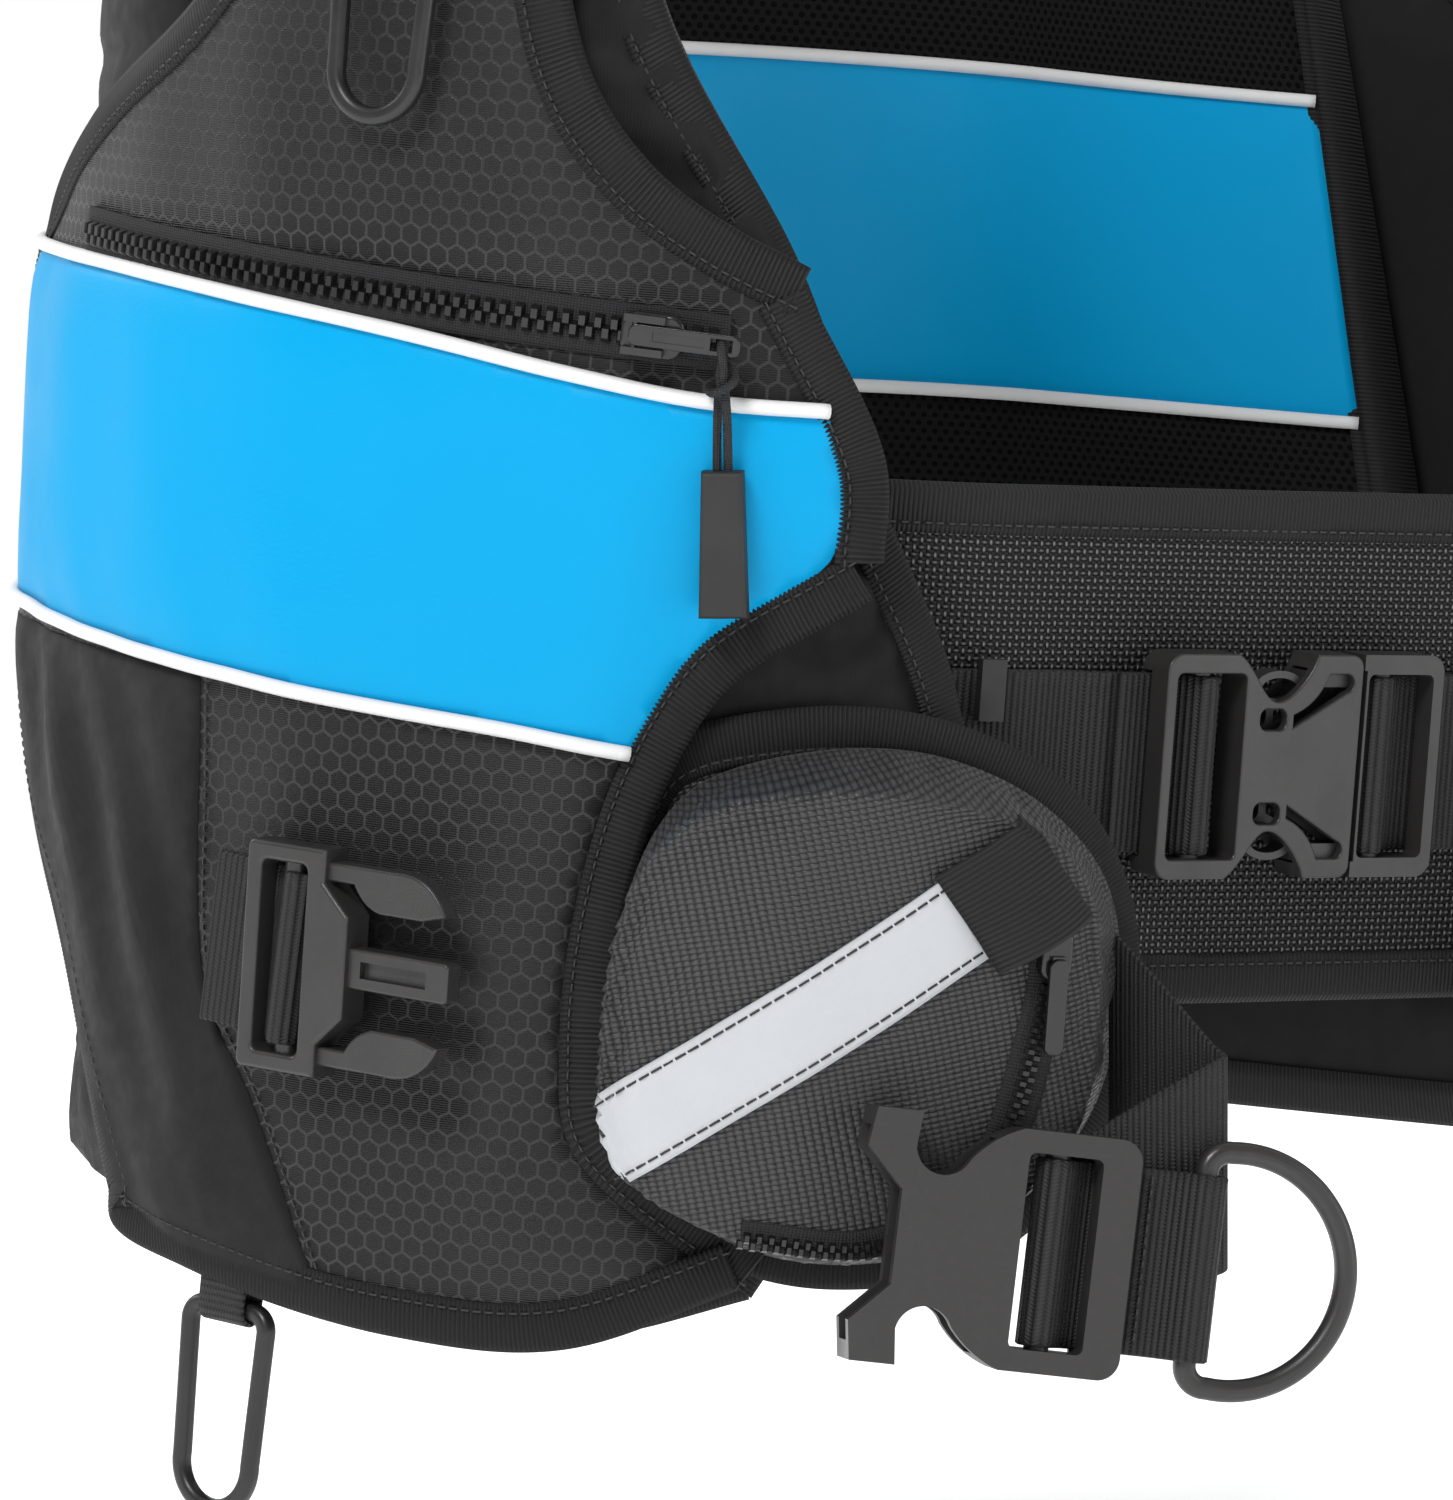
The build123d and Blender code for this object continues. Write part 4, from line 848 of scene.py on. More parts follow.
def edge_strips(name, edges, front, back, closed=False):
    """Ribbed binding and its stitches along a panel's edges.

    An edge is its anchors and how far the tape is pushed out from them at its start and end.
    """
    tapes, seams = [], []
    for anchors, outward in edges:
        path = curve(anchors, RIB / 2, closed)
        if closed and len(path) % 2:
            path = path[:-1]
        push = np.linspace(*outward, len(path))
        path = inset(path, -push[:, None])

        def near_edge(face, lift=0.0):
            return lambda s, h, d: face(s, h, np.maximum(d - np.linspace(*outward, len(d)), 0)) + lift

        tapes.append(binding(path, near_edge(front), near_edge(back), closed=closed))
        seams.append(stitches(inset(path, TAPE_W - 2.6), near_edge(front, TAPE_T * 0.7)))
    both_sides(name, join(*tapes), BINDING)
    both_sides(name + "_seam", join(*seams), THREAD, smooth=False)


def vertex_places(mesh):
    places = np.empty(3 * len(mesh.vertices))
    mesh.vertices.foreach_get("co", places)
    return places.reshape(-1, 3)


def swell(piece, cap, riders=()):
    """Cloth simulation: air swells a pad whose back and rim are held.

    No point moves past the cap, in millimetres.  Riders are the pieces that lie on the pad;
    their points move with the nearest of its own.
    """
    scene, mesh = bpy.context.scene, piece.data
    half = len(mesh.vertices) // 2
    held = set(range(half, 2 * half))
    for face in mesh.polygons:
        ahead = [i for i in face.vertices if i < half]
        if 0 < len(ahead) < len(face.vertices):
            held.update(ahead)
    group = piece.vertex_groups.new(name="held")
    group.add(sorted(held), 1.0, "ADD")
    air = piece.modifiers.new("air", "CLOTH")
    air.settings.vertex_group_mass = "held"
    air.settings.use_pressure = True
    air.settings.uniform_pressure_force = AIR_PRESSURE
    air.settings.effector_weights.gravity = 0
    air.settings.shrink_min = -0.04
    air.settings.bending_stiffness = 0.1
    before = vertex_places(mesh)
    for number in range(1, AIR_FRAMES + 1):
        scene.frame_set(number)
    swollen = piece.evaluated_get(bpy.context.evaluated_depsgraph_get())
    move = vertex_places(swollen.data) - before
    piece.modifiers.remove(air)
    piece.vertex_groups.remove(group)
    scene.frame_set(1)
    size = np.linalg.norm(move, axis=1, keepdims=True)
    move = move * np.minimum(1, cap * MM / np.maximum(size, 1e-9))
    mesh.vertices.foreach_set("co", (before + move).ravel())
    mesh.update()
    tree = KDTree(half)
    for i, at in enumerate(before[:half]):
        tree.insert(at, i)
    tree.balance()
    for rider in riders:
        own = vertex_places(rider.data)
        shift = np.array([np.mean([move[i] for _, i, _ in tree.find_n(at, 4)], axis=0) for at in own])
        rider.data.vertices.foreach_set("co", (own + shift).ravel())
        rider.data.update()


def make_lobes():
    loop = np.vstack([curve(LOBE_FRONT, 5)[:-1], curve([LOBE_FRONT[-1], LOBE_ARM[0]], 5)[:-1],
                      curve(LOBE_ARM, 5)[:-1], curve([LOBE_ARM[-1], LOBE_HEM[0]], 5)[:-1],
                      curve(LOBE_HEM, 5)[:-1]])
    for piece in both_sides("lobe_cell", panel(loop, 5, lobe_face, lobe_back), PLAIN,
                            ["{side}_lobe"]):
        swell(piece, 2.5)
    edges = [(LOBE_FRONT, (0, 0)), (LOBE_ARM, (0, 0)), (LOBE_HEM[1:], (0, 0))]
    edge_strips("lobe_binding", edges, lobe_face, lobe_back)


POCKET_LOOP = np.vstack([curve(run, 5)[:-1] for run in (
    EDGE_LOW, EDGE_HIGH, NECK, [NECK[-1], ARM[0]], ARM, SIDE, HEM)])


def lying_on(face, loop):
    """Makes surfaces that stand an amount off a pad's face, wherever on it a patch lies."""
    def over(amount):
        def radius(s, h, _=None):
            points = np.stack([np.ravel(s), np.ravel(h)], 1)
            away = np.where(inside(points, loop), edge_distance(points, loop), 0)
            return face(s, h, away.reshape(np.shape(s))) + amount
        return radius
    return over


over_pocket = lying_on(pocket_face, POCKET_LOOP)


def make_pockets():
    body = panel(POCKET_LOOP, 4, pocket_face, pocket_back)
    for piece in both_sides("pocket_panel", body, HEX, ["{side}_pocket"]):
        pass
    edges = [(EDGE_LOW, (12, 12)), (EDGE_HIGH, (9, 0)), (NECK, (5, 6)), (ARM, (0, 0)), (SIDE, (0, 0)),
             (HEM, (0, 0))]
    edge_strips("pocket_binding", edges, pocket_face, pocket_back)

    # the blue band, fuller in its middle, between its two pipings
    low, front, high = curve(BAND_LOW, 4), curve(BAND_FRONT, 4), curve(BAND_HIGH, 4)
    side = resample(np.array([high[-1], low[0]]), 4)
    loop = np.vstack([low[:-1], front[:-1], high[:-1], side[:-1]])

    def bulge(s, h, d):
        return over_pocket(0.5)(s, h) + 1.6 * (1 - np.exp(-d / 12))

    both_sides("blue_band", panel(loop, 4, bulge, over_pocket(-0.8)), BLUE,
               ["pocket_band_panels"])
    pipes = []
    for anchors in (BAND_LOW, BAND_HIGH[::-1]):
        path = curve(anchors, 2.5)
        rho = over_pocket(1.7)(path[:, 0], path[:, 1])
        pipes.append(tube(on_lobe(path[:, 0], path[:, 1], rho), PIPING_R))
    both_sides("band_piping", join(*pipes), WHITE)

    # the plain gusset down the side, pleated below its seam
    seam = curve(GUSSET_SEAM, 4)
    rim = np.array([(-84 * DEGREE, -121), (-74 * DEGREE, -136)])
    outer = curve(SIDE[1:], 4)
    outer = outer[outer[:, 1] < 36]
    loop = np.vstack([seam[::-1], resample(np.array([seam[0], outer[0]]), 4)[1:], outer[1:],
                      resample(np.array([outer[-1], rim[1], seam[-1]]), 4)[1:-1]])
    hem_phi, hem_h = (-84, -74, -54), (-129, -136, -143)
    loop[:, 1] = np.maximum(loop[:, 1], np.interp(loop[:, 0] / DEGREE, hem_phi, hem_h))

    def fold(s, h, d):
        return over_pocket(0.4)(s, h) + 0.9 * (1 - np.exp(-d / 5))

    both_sides("pocket_gusset", panel(loop, 4, fold, over_pocket(-0.8)), PLAIN)
    topstitch = stitches(inset(seam[::-1], -2.5), over_pocket(0.15), 3.0, 2.0)
    both_sides("gusset_stitching", topstitch, THREAD, smooth=False)


# ---- pocket zips ----
TOOTH_PITCH = 4.4
ZIP_TAPE_HALF = 7.4


def along_track(phi, lift, up):
    return on_zip(phi, POCKET_R[1] + lift, 0.0 * phi, np.full(len(phi), up))


def make_zips():
    phi = np.linspace(*ZIP_PHI, 120)
    up = np.linspace(-ZIP_TAPE_HALF, ZIP_TAPE_HALF, 9)
    face, back = (np.stack([along_track(phi, lift, v) for v in up], 1) for lift in (0.2, -1.6))
    lengths = np.radians(phi - phi[0]) * POCKET_R[1]
    both_sides("zip_tape", grid_slab(face, back, lengths, up), KNIT, ["zip_chains"])
    span = math.radians(ZIP_PHI[1] - ZIP_PHI[0]) * POCKET_R[1]
    phi = np.linspace(ZIP_PHI[0] + 0.6, ZIP_PHI[1] - 0.6, int(span / TOOTH_PITCH * 2))
    blocks = []
    for k, up in ((0, 1.35), (1, -1.35)):
        p = phi[k::2]
        at = along_track(p, 0.15, up)
        ahead = along_track(p + 0.2, 0.15, up)
        above = along_track(p, 1.15, up)
        blocks.append(beads(at, unit(ahead - at), unit(above - at), (2.9, 4.6, 2.2)))
    both_sides("zip_tooth_row", join(*blocks), TEETH, smooth=False)


make_lobes()
make_pockets()
make_zips()


# ---- weight pouches ----
def sleeve_face(s, h, d):
    return np.full(np.shape(s), SLEEVE_R[1]) + 0.3


def sleeve_back(s, h, d):
    return np.full(np.shape(s), SLEEVE_R[0]) + 0.2


POUCH_PANEL = [(-37, -84), (-37.4, -20), (-33, 5), (-25.5, 14), (-15, 12.5), (-8, 2), (-5.4, -12),
               (-4.4, -40), (-5.8, -74), (-12, -98), (-21, -107), (-30, -101)]
PANEL_LOOP = curve(POUCH_PANEL, 3, True)
POUCH_LOOP = curve(POUCH, 2.4, True)
POUCH_FOLDS = [(0.11, 0.05, 0.5), (-0.07, 0.12, 1.7), (0.2, 0.03, 3.0), (0.05, -0.21, 0.7)]
GUSSET_FOLDS = [(0.30, 0.16, 0.2), (-0.12, 0.33, 1.1), (0.42, -0.2, 2.4)]


def pouch_face(s, h, d):
    """A boxy bag: a front panel with a raised seam round it, and a gusset that falls to the rim."""
    shape = np.shape(s)
    points = np.stack([np.ravel(s), np.ravel(h)], 1)
    to_panel = edge_distance(points, PANEL_LOOP).reshape(shape)
    within = inside(points, PANEL_LOOP).reshape(shape)
    d = np.broadcast_to(np.asarray(d, float), shape)
    share = np.where(within, 1.0, d / np.maximum(d + to_panel, 1e-6))
    crown = np.where(within, 1 - np.exp(-to_panel / 24), 0.0)
    seam = 1.3 * np.exp(-(to_panel / 1.6) ** 2) * (share > 0.3)
    folds = ripple(s, h, 1.7, POUCH_FOLDS) * crown + ripple(s, h, 1.9, GUSSET_FOLDS) * (
        1 - within) * np.clip(4 * share * (1 - share), 0, 1)
    return 202.5 + 26 * share ** 1.5 + 4.5 * crown + seam + folds


def pouch_back(s, h, d):
    return np.full(np.shape(s), POUCH_R[0] - 2.6)


over_pouch = lying_on(pouch_face, POUCH_LOOP)
STRIP_FROM, STRIP_TO = (-37.7, -81.7), (-12.6, -9.5)
STRIP_W = 23.0
POUCH_ZIP = [(-8.4, -12), (-9.2, -45), (-12.0, -82), (-18.5, -103), (-28, -103)]
POUCH_PITCH = 1.45
HOOD = [(-14.0, 2.5), (-11.8, -9), (-9.5, -22)]
HOOD_HALF = 14.0


def pouch_patch(s, h, low, high, lengths, heights):
    """A slab over a grid of places on the pouch, between two heights off its face."""
    base = over_pouch(0.0)(s, h)
    return grid_slab(on_lobe(s, h, base + high), on_lobe(s, h, base + low), lengths, heights)


def make_pouches():
    edge_strips("sleeve_binding", [(SLEEVE[::-1], (0, 0))], sleeve_face, sleeve_back, True)
    sleeve = panel(curve(SLEEVE, 5, True), 6, sleeve_face, sleeve_back)
    both_sides("sleeve", sleeve, BALLISTIC, ["weight_pockets"])
    bags = both_sides("pouch_bag", panel(POUCH_LOOP, 2.4, pouch_face, pouch_back), BALLISTIC,
                      ["{side}_weight_pouch"])

    # the pale strip runs up across the pouch, with a dark stitched line along each edge
    start, end = (np.array([phi * DEGREE, h]) for phi, h in (STRIP_FROM, STRIP_TO))
    length = np.linalg.norm(end - start)
    along = (end - start) / length
    across = np.array([-along[1], along[0]])
    u, v = np.meshgrid(np.linspace(0, length, 60), np.linspace(-STRIP_W / 2, STRIP_W / 2, 14), indexing="ij")
    s, h = (start[:, None, None] + along[:, None, None] * u + across[:, None, None] * v)
    strip = pouch_patch(s, h, -0.4, 1.4, u[:, 0], v[0])
    riders = [both_sides("reflective_strip", strip, REFLECT)]
    seams = []
    for side in (-1, 1):
        aside = across * side * (STRIP_W / 2 - 2.2)
        seams.append(stitches(np.stack([start + aside, end + aside]), over_pouch(1.45), 3.4, 3.1))
    riders.append(both_sides("strip_seams", join(*seams), TEETH, smooth=False))

    # its zip runs down the front edge; a folded tape tab hoods the slider
    path = curve(POUCH_ZIP, 1.5)
    columns = np.linspace(-5.5, 5.5, 7)
    tape = np.stack([inset(path, v) for v in columns], 1)
    grid = pouch_patch(tape[..., 0], tape[..., 1], -0.5, 0.5, run_length(path), columns)
    riders.append(both_sides("pouch_zip_tape", grid, KNIT))
    teeth = resample(path, POUCH_PITCH)
    rows = []
    for k, v in ((0, 0.9), (1, -0.9)):
        q = inset(teeth, v)[k::2]
        rho = over_pouch(0.4)(q[:, 0], q[:, 1])
        at = on_lobe(q[:, 0], q[:, 1], rho)
        along = flow(q)
        ahead = on_lobe(q[:, 0] + along[:, 0], q[:, 1] + along[:, 1], rho)
        out = unit(on_lobe(q[:, 0], q[:, 1], rho + 1) - at)
        rows.append(beads(at, unit(ahead - at), out, (1.9, 3.2, 1.5)))
    riders.append(both_sides("pouch_zip_teeth", join(*rows), TEETH, smooth=False))

    hood = curve(HOOD, 1.0)
    columns = np.linspace(-HOOD_HALF, HOOD_HALF, 15)
    hood_grid = np.stack([inset(hood, v) for v in columns], 1)
    rise = 2.5 + 5.5 * np.linspace(0, 1, len(hood)) ** 1.6
    rise = rise[:, None] * (1 - 0.4 * (columns / HOOD_HALF) ** 2)[None]
    s, h = hood_grid[..., 0], hood_grid[..., 1]
    tab = pouch_patch(s, h, rise - 0.5, rise + 0.8, run_length(hood), columns)
    riders.append(both_sides("pouch_zip_hood", tab, BINDING))
    for bag, *on_it in zip(bags, *riders):
        swell(bag, 2.0, on_it)


make_pouches()


# ---- rear shell, pad and its band ----
def shell_path(front_y, step=6.0):
    """Turns round the rear shell from the right front edge to the left one, and straight runs between."""
    first = math.asin(max(-1, (front_y - BODY_Y) / SHELL[1]))
    arc = np.linspace(first, math.pi / 2, int((math.pi / 2 - first) * 175 / step))
    flat = np.linspace(-LOBE_X, LOBE_X, int(2 * LOBE_X / step))[1:-1]
    turns = np.r_[arc, np.full(len(flat), math.pi / 2), arc[::-1]]
    shift = np.r_[np.full(len(arc), -LOBE_X), flat, np.full(len(arc), LOBE_X)]
    mirror = np.r_[np.ones(len(arc)), np.zeros(len(flat)), -np.ones(len(arc))]
    return turns, shift, mirror


def on_shell(path, depth, z):
    """Row-frame metres at a depth inside the shell's outer face, for turns along path and heights z."""
    turns, shift, mirror = (a[:, None] for a in path)
    return shell_point(turns, shift, mirror, depth, z)


def on_pad(path, depth, z):
    """The same on the pad, whose front edges draw back and sink a little towards its top and sides."""
    turns, shift, mirror = (a[:, None] for a in path)
    turns = turns + (math.pi / 2 - turns) * PAD_TAPER * np.clip((z - BACK_BAND[0]) / (BACK_BAND[1] - BACK_BAND[0]), -1, 2)
    aside = (shift - mirror * SHELL[0] * np.cos(turns)) / (LOBE_X + SHELL[0])
    return shell_point(turns, shift, mirror, depth, z - PAD_SINK * aside ** 2)


def shell_point(turns, shift, mirror, depth, z):
    x = shift - mirror * (SHELL[0] - depth) * np.cos(turns)
    y = BODY_Y + (SHELL[1] - depth) * np.sin(turns)
    return design(x, y, z)


def shell_span(path):
    points = on_shell(path, 0.0, np.zeros((len(path[0]), 1)))[:, 0]
    return run_length(points) / MM


def shell_limits(x):
    """The rear shell's lower and upper edge at a distance from the middle."""
    x = np.abs(x)
    low = np.interp(x, [0, 80, 160, 230, 300], [-100, -106, -114, -122, -130])
    high = np.interp(x, [0, 25, 50, 70, 90, 160, 190, 215, 240, 268, 300],
                     [355, 357, 366, 382, 396, 396, 360, 320, 276, 240, 225])
    return low, high


def fullness(above, below, span, soft):
    """How full a padded wall is, from its distances to its lower, upper and end edges."""
    ends = np.broadcast_to(np.minimum(span, span[-1] - span)[:, None], above.shape)
    return 1 - np.exp(-np.minimum.reduce([above, below, ends]) / soft)


SHELL_WAVES = [(0.021, 0.03, 0.3), (0.05, -0.018, 1.2), (0.035, 0.06, 2.2)]
QUILT_LINES = (-20, 90, 200, 300)


def make_shell():
    path = shell_path(SHELL_FRONT_Y)
    span = shell_span(path)
    edge_x = on_shell(path, 0.0, np.zeros((len(path[0]), 1)))[:, 0, 0] / MM
    low, high = shell_limits(edge_x)
    low, high = low + 2, high - 2
    t = np.linspace(0, 1, 90)[None]
    z = low[:, None] + (high - low)[:, None] * t
    full = fullness(z - low[:, None], high[:, None] - z, span, 14)
    fold = ripple(span[:, None], z, 1.4, SHELL_WAVES) * full
    # quilting lines draw the outer face in
    quilt = sum(np.exp(-((z - line) / 4.0) ** 2) for line in QUILT_LINES) * full
    outer = on_shell(path, 7.5 - 7.0 * full + 2.4 * quilt + fold, z)
    inner = on_shell(path, SHELL_WALL - 7.5 + 7.0 * full + fold * 0.3, z)
    shell = mesh_object("rear_air_cell", *grid_slab(outer, inner, span, z.mean(0)), PLAIN)
    settle(shell, ["back_bladder"])
    tapes = []
    for edge, way in ((low, 1), (high, -1)):
        fine = np.linspace(0, span[-1], int(span[-1] / (RIB / 2)))
        turn = [np.interp(fine, span, a) for a in path]
        height = np.interp(fine, span, edge)
        ribs = ribbed(len(fine), 0.28)
        shaped = [(13, 3.6), (13, 2.0), (8, 3.4), (4, 4.8), (0, 6.6), (-1.6, 8.2), (-1.6, 10.2),
                  (0, 11.6), (4, 13.4), (8, 14.8), (13, 16.2), (13, 14.4)]
        rings = []
        for reach, depth in shaped:
            away = (depth - SHELL_WALL / 2) * (1 + 0.03 * (ribs - 1))
            rings.append(on_shell(tuple(turn), (SHELL_WALL / 2 + away)[:, None],
                                  (height + way * reach)[:, None])[:, 0])
        rings = np.stack(rings, 1)
        if way < 0:
            rings = rings[:, ::-1]
        tapes.append(swept(rings, fine, np.arange(len(shaped)) * 3.0))
    settle(mesh_object("rear_cell_binding", *join(*tapes), BINDING))


PAD_FRONT_Y, PAD_LOW, PAD_HIGH = 96.0, -60.0, 340.0
BACK_BAND = (116.0, 220.0)
PAD_TAPER, PAD_SINK = 0.13, 14.0


def make_pad():
    path = shell_path(PAD_FRONT_Y, 4.0)
    span = shell_span(path)
    z = np.linspace(PAD_LOW + 1, PAD_HIGH - 1, 110)[None] + 0 * span[:, None]
    full = fullness(z - PAD_LOW, PAD_HIGH - z, span, 9)
    inner_depth = SHELL_WALL + 1 + PAD_T
    fold = ripple(span[:, None], z, 1.0, SHELL_WAVES)
    face = on_pad(path, inner_depth - 7 + 6.2 * full + fold * full, z)
    rear = on_pad(path, SHELL_WALL + 1.5 + 6.5 * (1 - full), z)
    pad = mesh_object("back_pad_mesh", *grid_slab(rear, face, span, z[0]), AIR)
    settle(pad, ["back_pad"])

    # binding up both front edges of the pad
    tapes = []
    for mirror in (False, True):
        height = np.arange(PAD_LOW, PAD_HIGH, RIB / 2)
        ribs = ribbed(len(height), 0.28)
        shaped = [(20, 20.2), (20, 39.6), (15.5, 39.9), (14.6, 39.2), (13.7, 39.9), (8, 39.6), (2, 36),
                  (-1.2, 31), (-1.2, 28), (2, 23), (8, 20.2)]
        rings = []
        for reach, depth in shaped:
            spot = [np.interp(reach + 0 * height, span, a) for a in path]
            if reach < 0:
                spot[0] = spot[0] + reach / 150.0
            rings.append(on_pad(tuple(spot), (depth * (1 + 0.004 * (ribs - 1)))[:, None],
                                height[:, None])[:, 0])
        rings = np.stack(rings, 1)
        if mirror:
            rings = (rings * np.array([-1.0, 1, 1]))[:, ::-1]
        tapes.append(swept(rings, height, np.arange(len(shaped)) * 4.0))
    settle(mesh_object("back_pad_binding", *join(*tapes), BINDING))

    # the blue band lies on the pad between two pipings
    low, high = BACK_BAND
    path = tuple(a[4:-4] for a in path)
    span = shell_span(path)
    z = np.linspace(low, high, 40)[None] + 0 * span[:, None]
    d = np.minimum(z - low, high - z)
    fold = ripple(span[:, None], z, 1.0, SHELL_WAVES)
    lift = inner_depth - 0.2 + 1.9 * (1 - np.exp(-d / 10)) + fold
    band = mesh_object("back_blue_band",
                       *grid_slab(on_pad(path, lift - 1.2, z), on_pad(path, lift, z), span, z[0]), BLUE)
    settle(band, ["back_band_panel"])
    pipes = []
    for height in BACK_BAND:
        away = inner_depth + 0.9 + ripple(span, np.full(len(span), height), 1.0, SHELL_WAVES)
        centre = on_pad(path, away[:, None], np.full((len(span), 1), height))[:, 0]
        pipes.append(tube(centre, PIPING_R))
    settle(mesh_object("back_band_piping", *join(*pipes), WHITE))


# ---- cummerbund and waist belt ----
def waist_plan(radius, first_phi, last_x, step):
    """A plan line round the right lobe and on across the front, with its outward normals."""
    arc = np.radians(np.arange(first_phi, 0.01, math.degrees(step / radius)))
    x = np.r_[-LOBE_X + radius * np.sin(arc), np.arange(-LOBE_X + step, last_x, step)]
    flat = len(x) - len(arc)
    y = np.r_[-radius * np.cos(arc), np.full(flat, -radius)]
    out = np.stack([np.r_[np.sin(arc), np.zeros(flat)], np.r_[-np.cos(arc), -np.ones(flat)]], 1)
    return np.stack([x, y], 1), out


def wall_wave(length, h):
    return np.sin(length * 0.05) * np.cos(h * 0.04) + 0.4 * np.sin(length * 0.13)


def wall_slab(plan, out, heights, face, rear, wave):
    """An upright slab along a plan line; face and rear are offsets out from it."""
    length = run_length(plan)
    h = np.asarray(heights, float)[None]
    shift = wave * wall_wave(length[:, None], h)
    grids = []
    for offset in (face, rear):
        at = plan[:, None] + out[:, None] * (offset + shift)[..., None]
        grids.append(place(at[..., 0], at[..., 1], h + 0 * length[:, None]))
    return grid_slab(grids[0], grids[1], length, h[0])


def edge_tape(plan, out, edge, way, face, rear, wave):
    """Binding over the upper or lower edge of an upright wall."""
    length = run_length(plan)
    ribs = ribbed(len(plan), 0.28)
    shaped = [(TAPE_W, face), (TAPE_W, face + 0.6), (TAPE_W - 2.1, face + 0.85), (TAPE_W - 2.8, face + 0.4),
              (TAPE_W - 3.5, face + 0.85), (5, face + 1.0), (1, face + 1.0), (-1, face - 0.6),
              (-1, rear + 0.6), (1, rear - 1.0), (5, rear - 1.0), (TAPE_W, rear - 0.6), (TAPE_W, rear)]
    middle = (face + rear) / 2
    rings = []
    for reach, offset in shaped:
        h = edge - way * reach
        shift = wave * wall_wave(length, h)
        at = plan + out * (middle + (offset - middle) * (1 + 0.12 * (ribs - 1)) + shift)[:, None]
        rings.append(place(at[:, 0], at[:, 1], h))
    rings = np.stack(rings, 1)
    if way < 0:
        rings = rings[:, ::-1]
    return swept(rings, length, np.arange(len(shaped)) * 2.0)


CUMMERBUND_T, CUMMERBUND_WAVE = 4.0, 0.5
CUMMERBUND_FROM = -96.0


def make_cummerbund():
    low, high = CUMMERBUND_H
    for side, flip, last_x in (("right", False, SEAM_X), ("left", True, -SEAM_X - 1.5)):
        radius = BELT_R + CUMMERBUND_T / 2
        plan, out = waist_plan(radius, CUMMERBUND_FROM, last_x, 3.0)
        heights = np.linspace(low + 1, high - 1, 50)
        cloth = wall_slab(plan, out, heights, 1.5, -1.5, CUMMERBUND_WAVE)
        piece = mesh_object(f"{side}_cummerbund_mesh", *cloth, MESH, mirror=flip)
        settle(piece, [f"{side}_cummerbund"])
        fine, normal = waist_plan(radius, CUMMERBUND_FROM, last_x, RIB / 2)
        tapes = [edge_tape(fine, normal, edge, way, 1.4, -1.4, CUMMERBUND_WAVE)
                 for edge, way in ((high, 1), (low, -1))]
        tape = mesh_object(f"{side}_cummerbund_binding", *join(*tapes), BINDING, mirror=flip)
        settle(tape)
        seam_plan, seam_out = waist_plan(radius, CUMMERBUND_FROM, last_x, 3.4)
        rows = []
        for h in (high - TAPE_W + 2.8, low + TAPE_W - 2.8):
            at = seam_plan + seam_out * 2.35
            centre = place(at[:, 0], at[:, 1], h)
            along = flow(centre)
            outward = unit(place(at[:, 0] + seam_out[:, 0], at[:, 1] + seam_out[:, 1], h) - centre)
            rows.append(beads(centre, along, outward, (2.3, 0.7, 0.4)))
        seam = mesh_object(f"{side}_cummerbund_seam", *join(*rows), THREAD, mirror=flip, smooth=False)
        settle(seam)


def ribbon(centre, width_dir, thick_dir, width, thick):
    """Webbing along centre points in millimetres of any frame, rounded at its selvedges."""
    half = width / 2
    section = [(-half + 0.5, -1), (-half, -0.35), (-half, 0.35), (-half + 0.5, 1)]
    section += [(x, 1.0) for x in np.linspace(-half + 4, half - 4, 9)]
    section += [(half - 0.5, 1), (half, 0.35), (half, -0.35), (half - 0.5, -1)]
    section += [(x, -1.0) for x in np.linspace(half - 4, -half + 4, 9)]
    rings = np.stack([centre + width_dir * a + thick_dir * (b * thick / 2) for a, b in section], 1)
    across = np.array([a for a, _ in section])
    return rings, run_length(centre), across


def web_along(points, width_dir, to_row, width=WEB_W, thick=WEB_T, closed=False):
    """Webbing that follows points in a local frame; to_row turns local points into row metres."""
    along = flow(points, closed)
    wide = np.broadcast_to(np.asarray(width_dir, float), points.shape)
    thick_dir = unit(np.cross(along, wide))
    rings, lengths, across = ribbon(points, wide, thick_dir, width, thick)
    return swept(to_row(rings), lengths, across, closed)


BAR_R = 3.4
LAYERS = (-6.4, -2.0)
BAR_LOOP = BAR_R + 0.35 + WEB_T / 2


def half_turn(radius, degrees, count):
    """Points part way round a bar that runs along Y."""
    turn = np.radians(np.linspace(*degrees, count))
    return np.stack([radius * np.cos(turn), 0 * turn, radius * np.sin(turn)], 1)


def bar_loop(reach, lower=LAYERS[0] + 1.1, upper=LAYERS[1] - 1.1):
    """Webbing's line round a buckle's bar at the origin, both layers running back to -reach."""
    arc = half_turn(BAR_LOOP, (-100, 100), 30)
    low = np.array([[-reach, 0, lower], [-reach * 0.5, 0, lower], [-BAR_LOOP - 3, 0, lower]])
    high = np.array([[-BAR_LOOP - 3, 0, upper], [-reach * 0.5, 0, upper], [-reach, 0, upper]])
    return even(np.vstack([low, arc[::4], high]), 1.2)


def frame_to_row(origin, x_dir, z_dir, scale=1.0, leaning=False):
    """A function from a local frame's millimetres to row metres."""
    x_dir, z_dir = unit(np.array(x_dir, float)), unit(np.array(z_dir, float))
    axes = np.stack([x_dir, np.cross(z_dir, x_dir), z_dir])

    def to_row(local):
        at = np.asarray(local) * scale @ axes + np.array(origin, float)
        return (place if leaning else design)(at[..., 0], at[..., 1], at[..., 2])
    return to_row


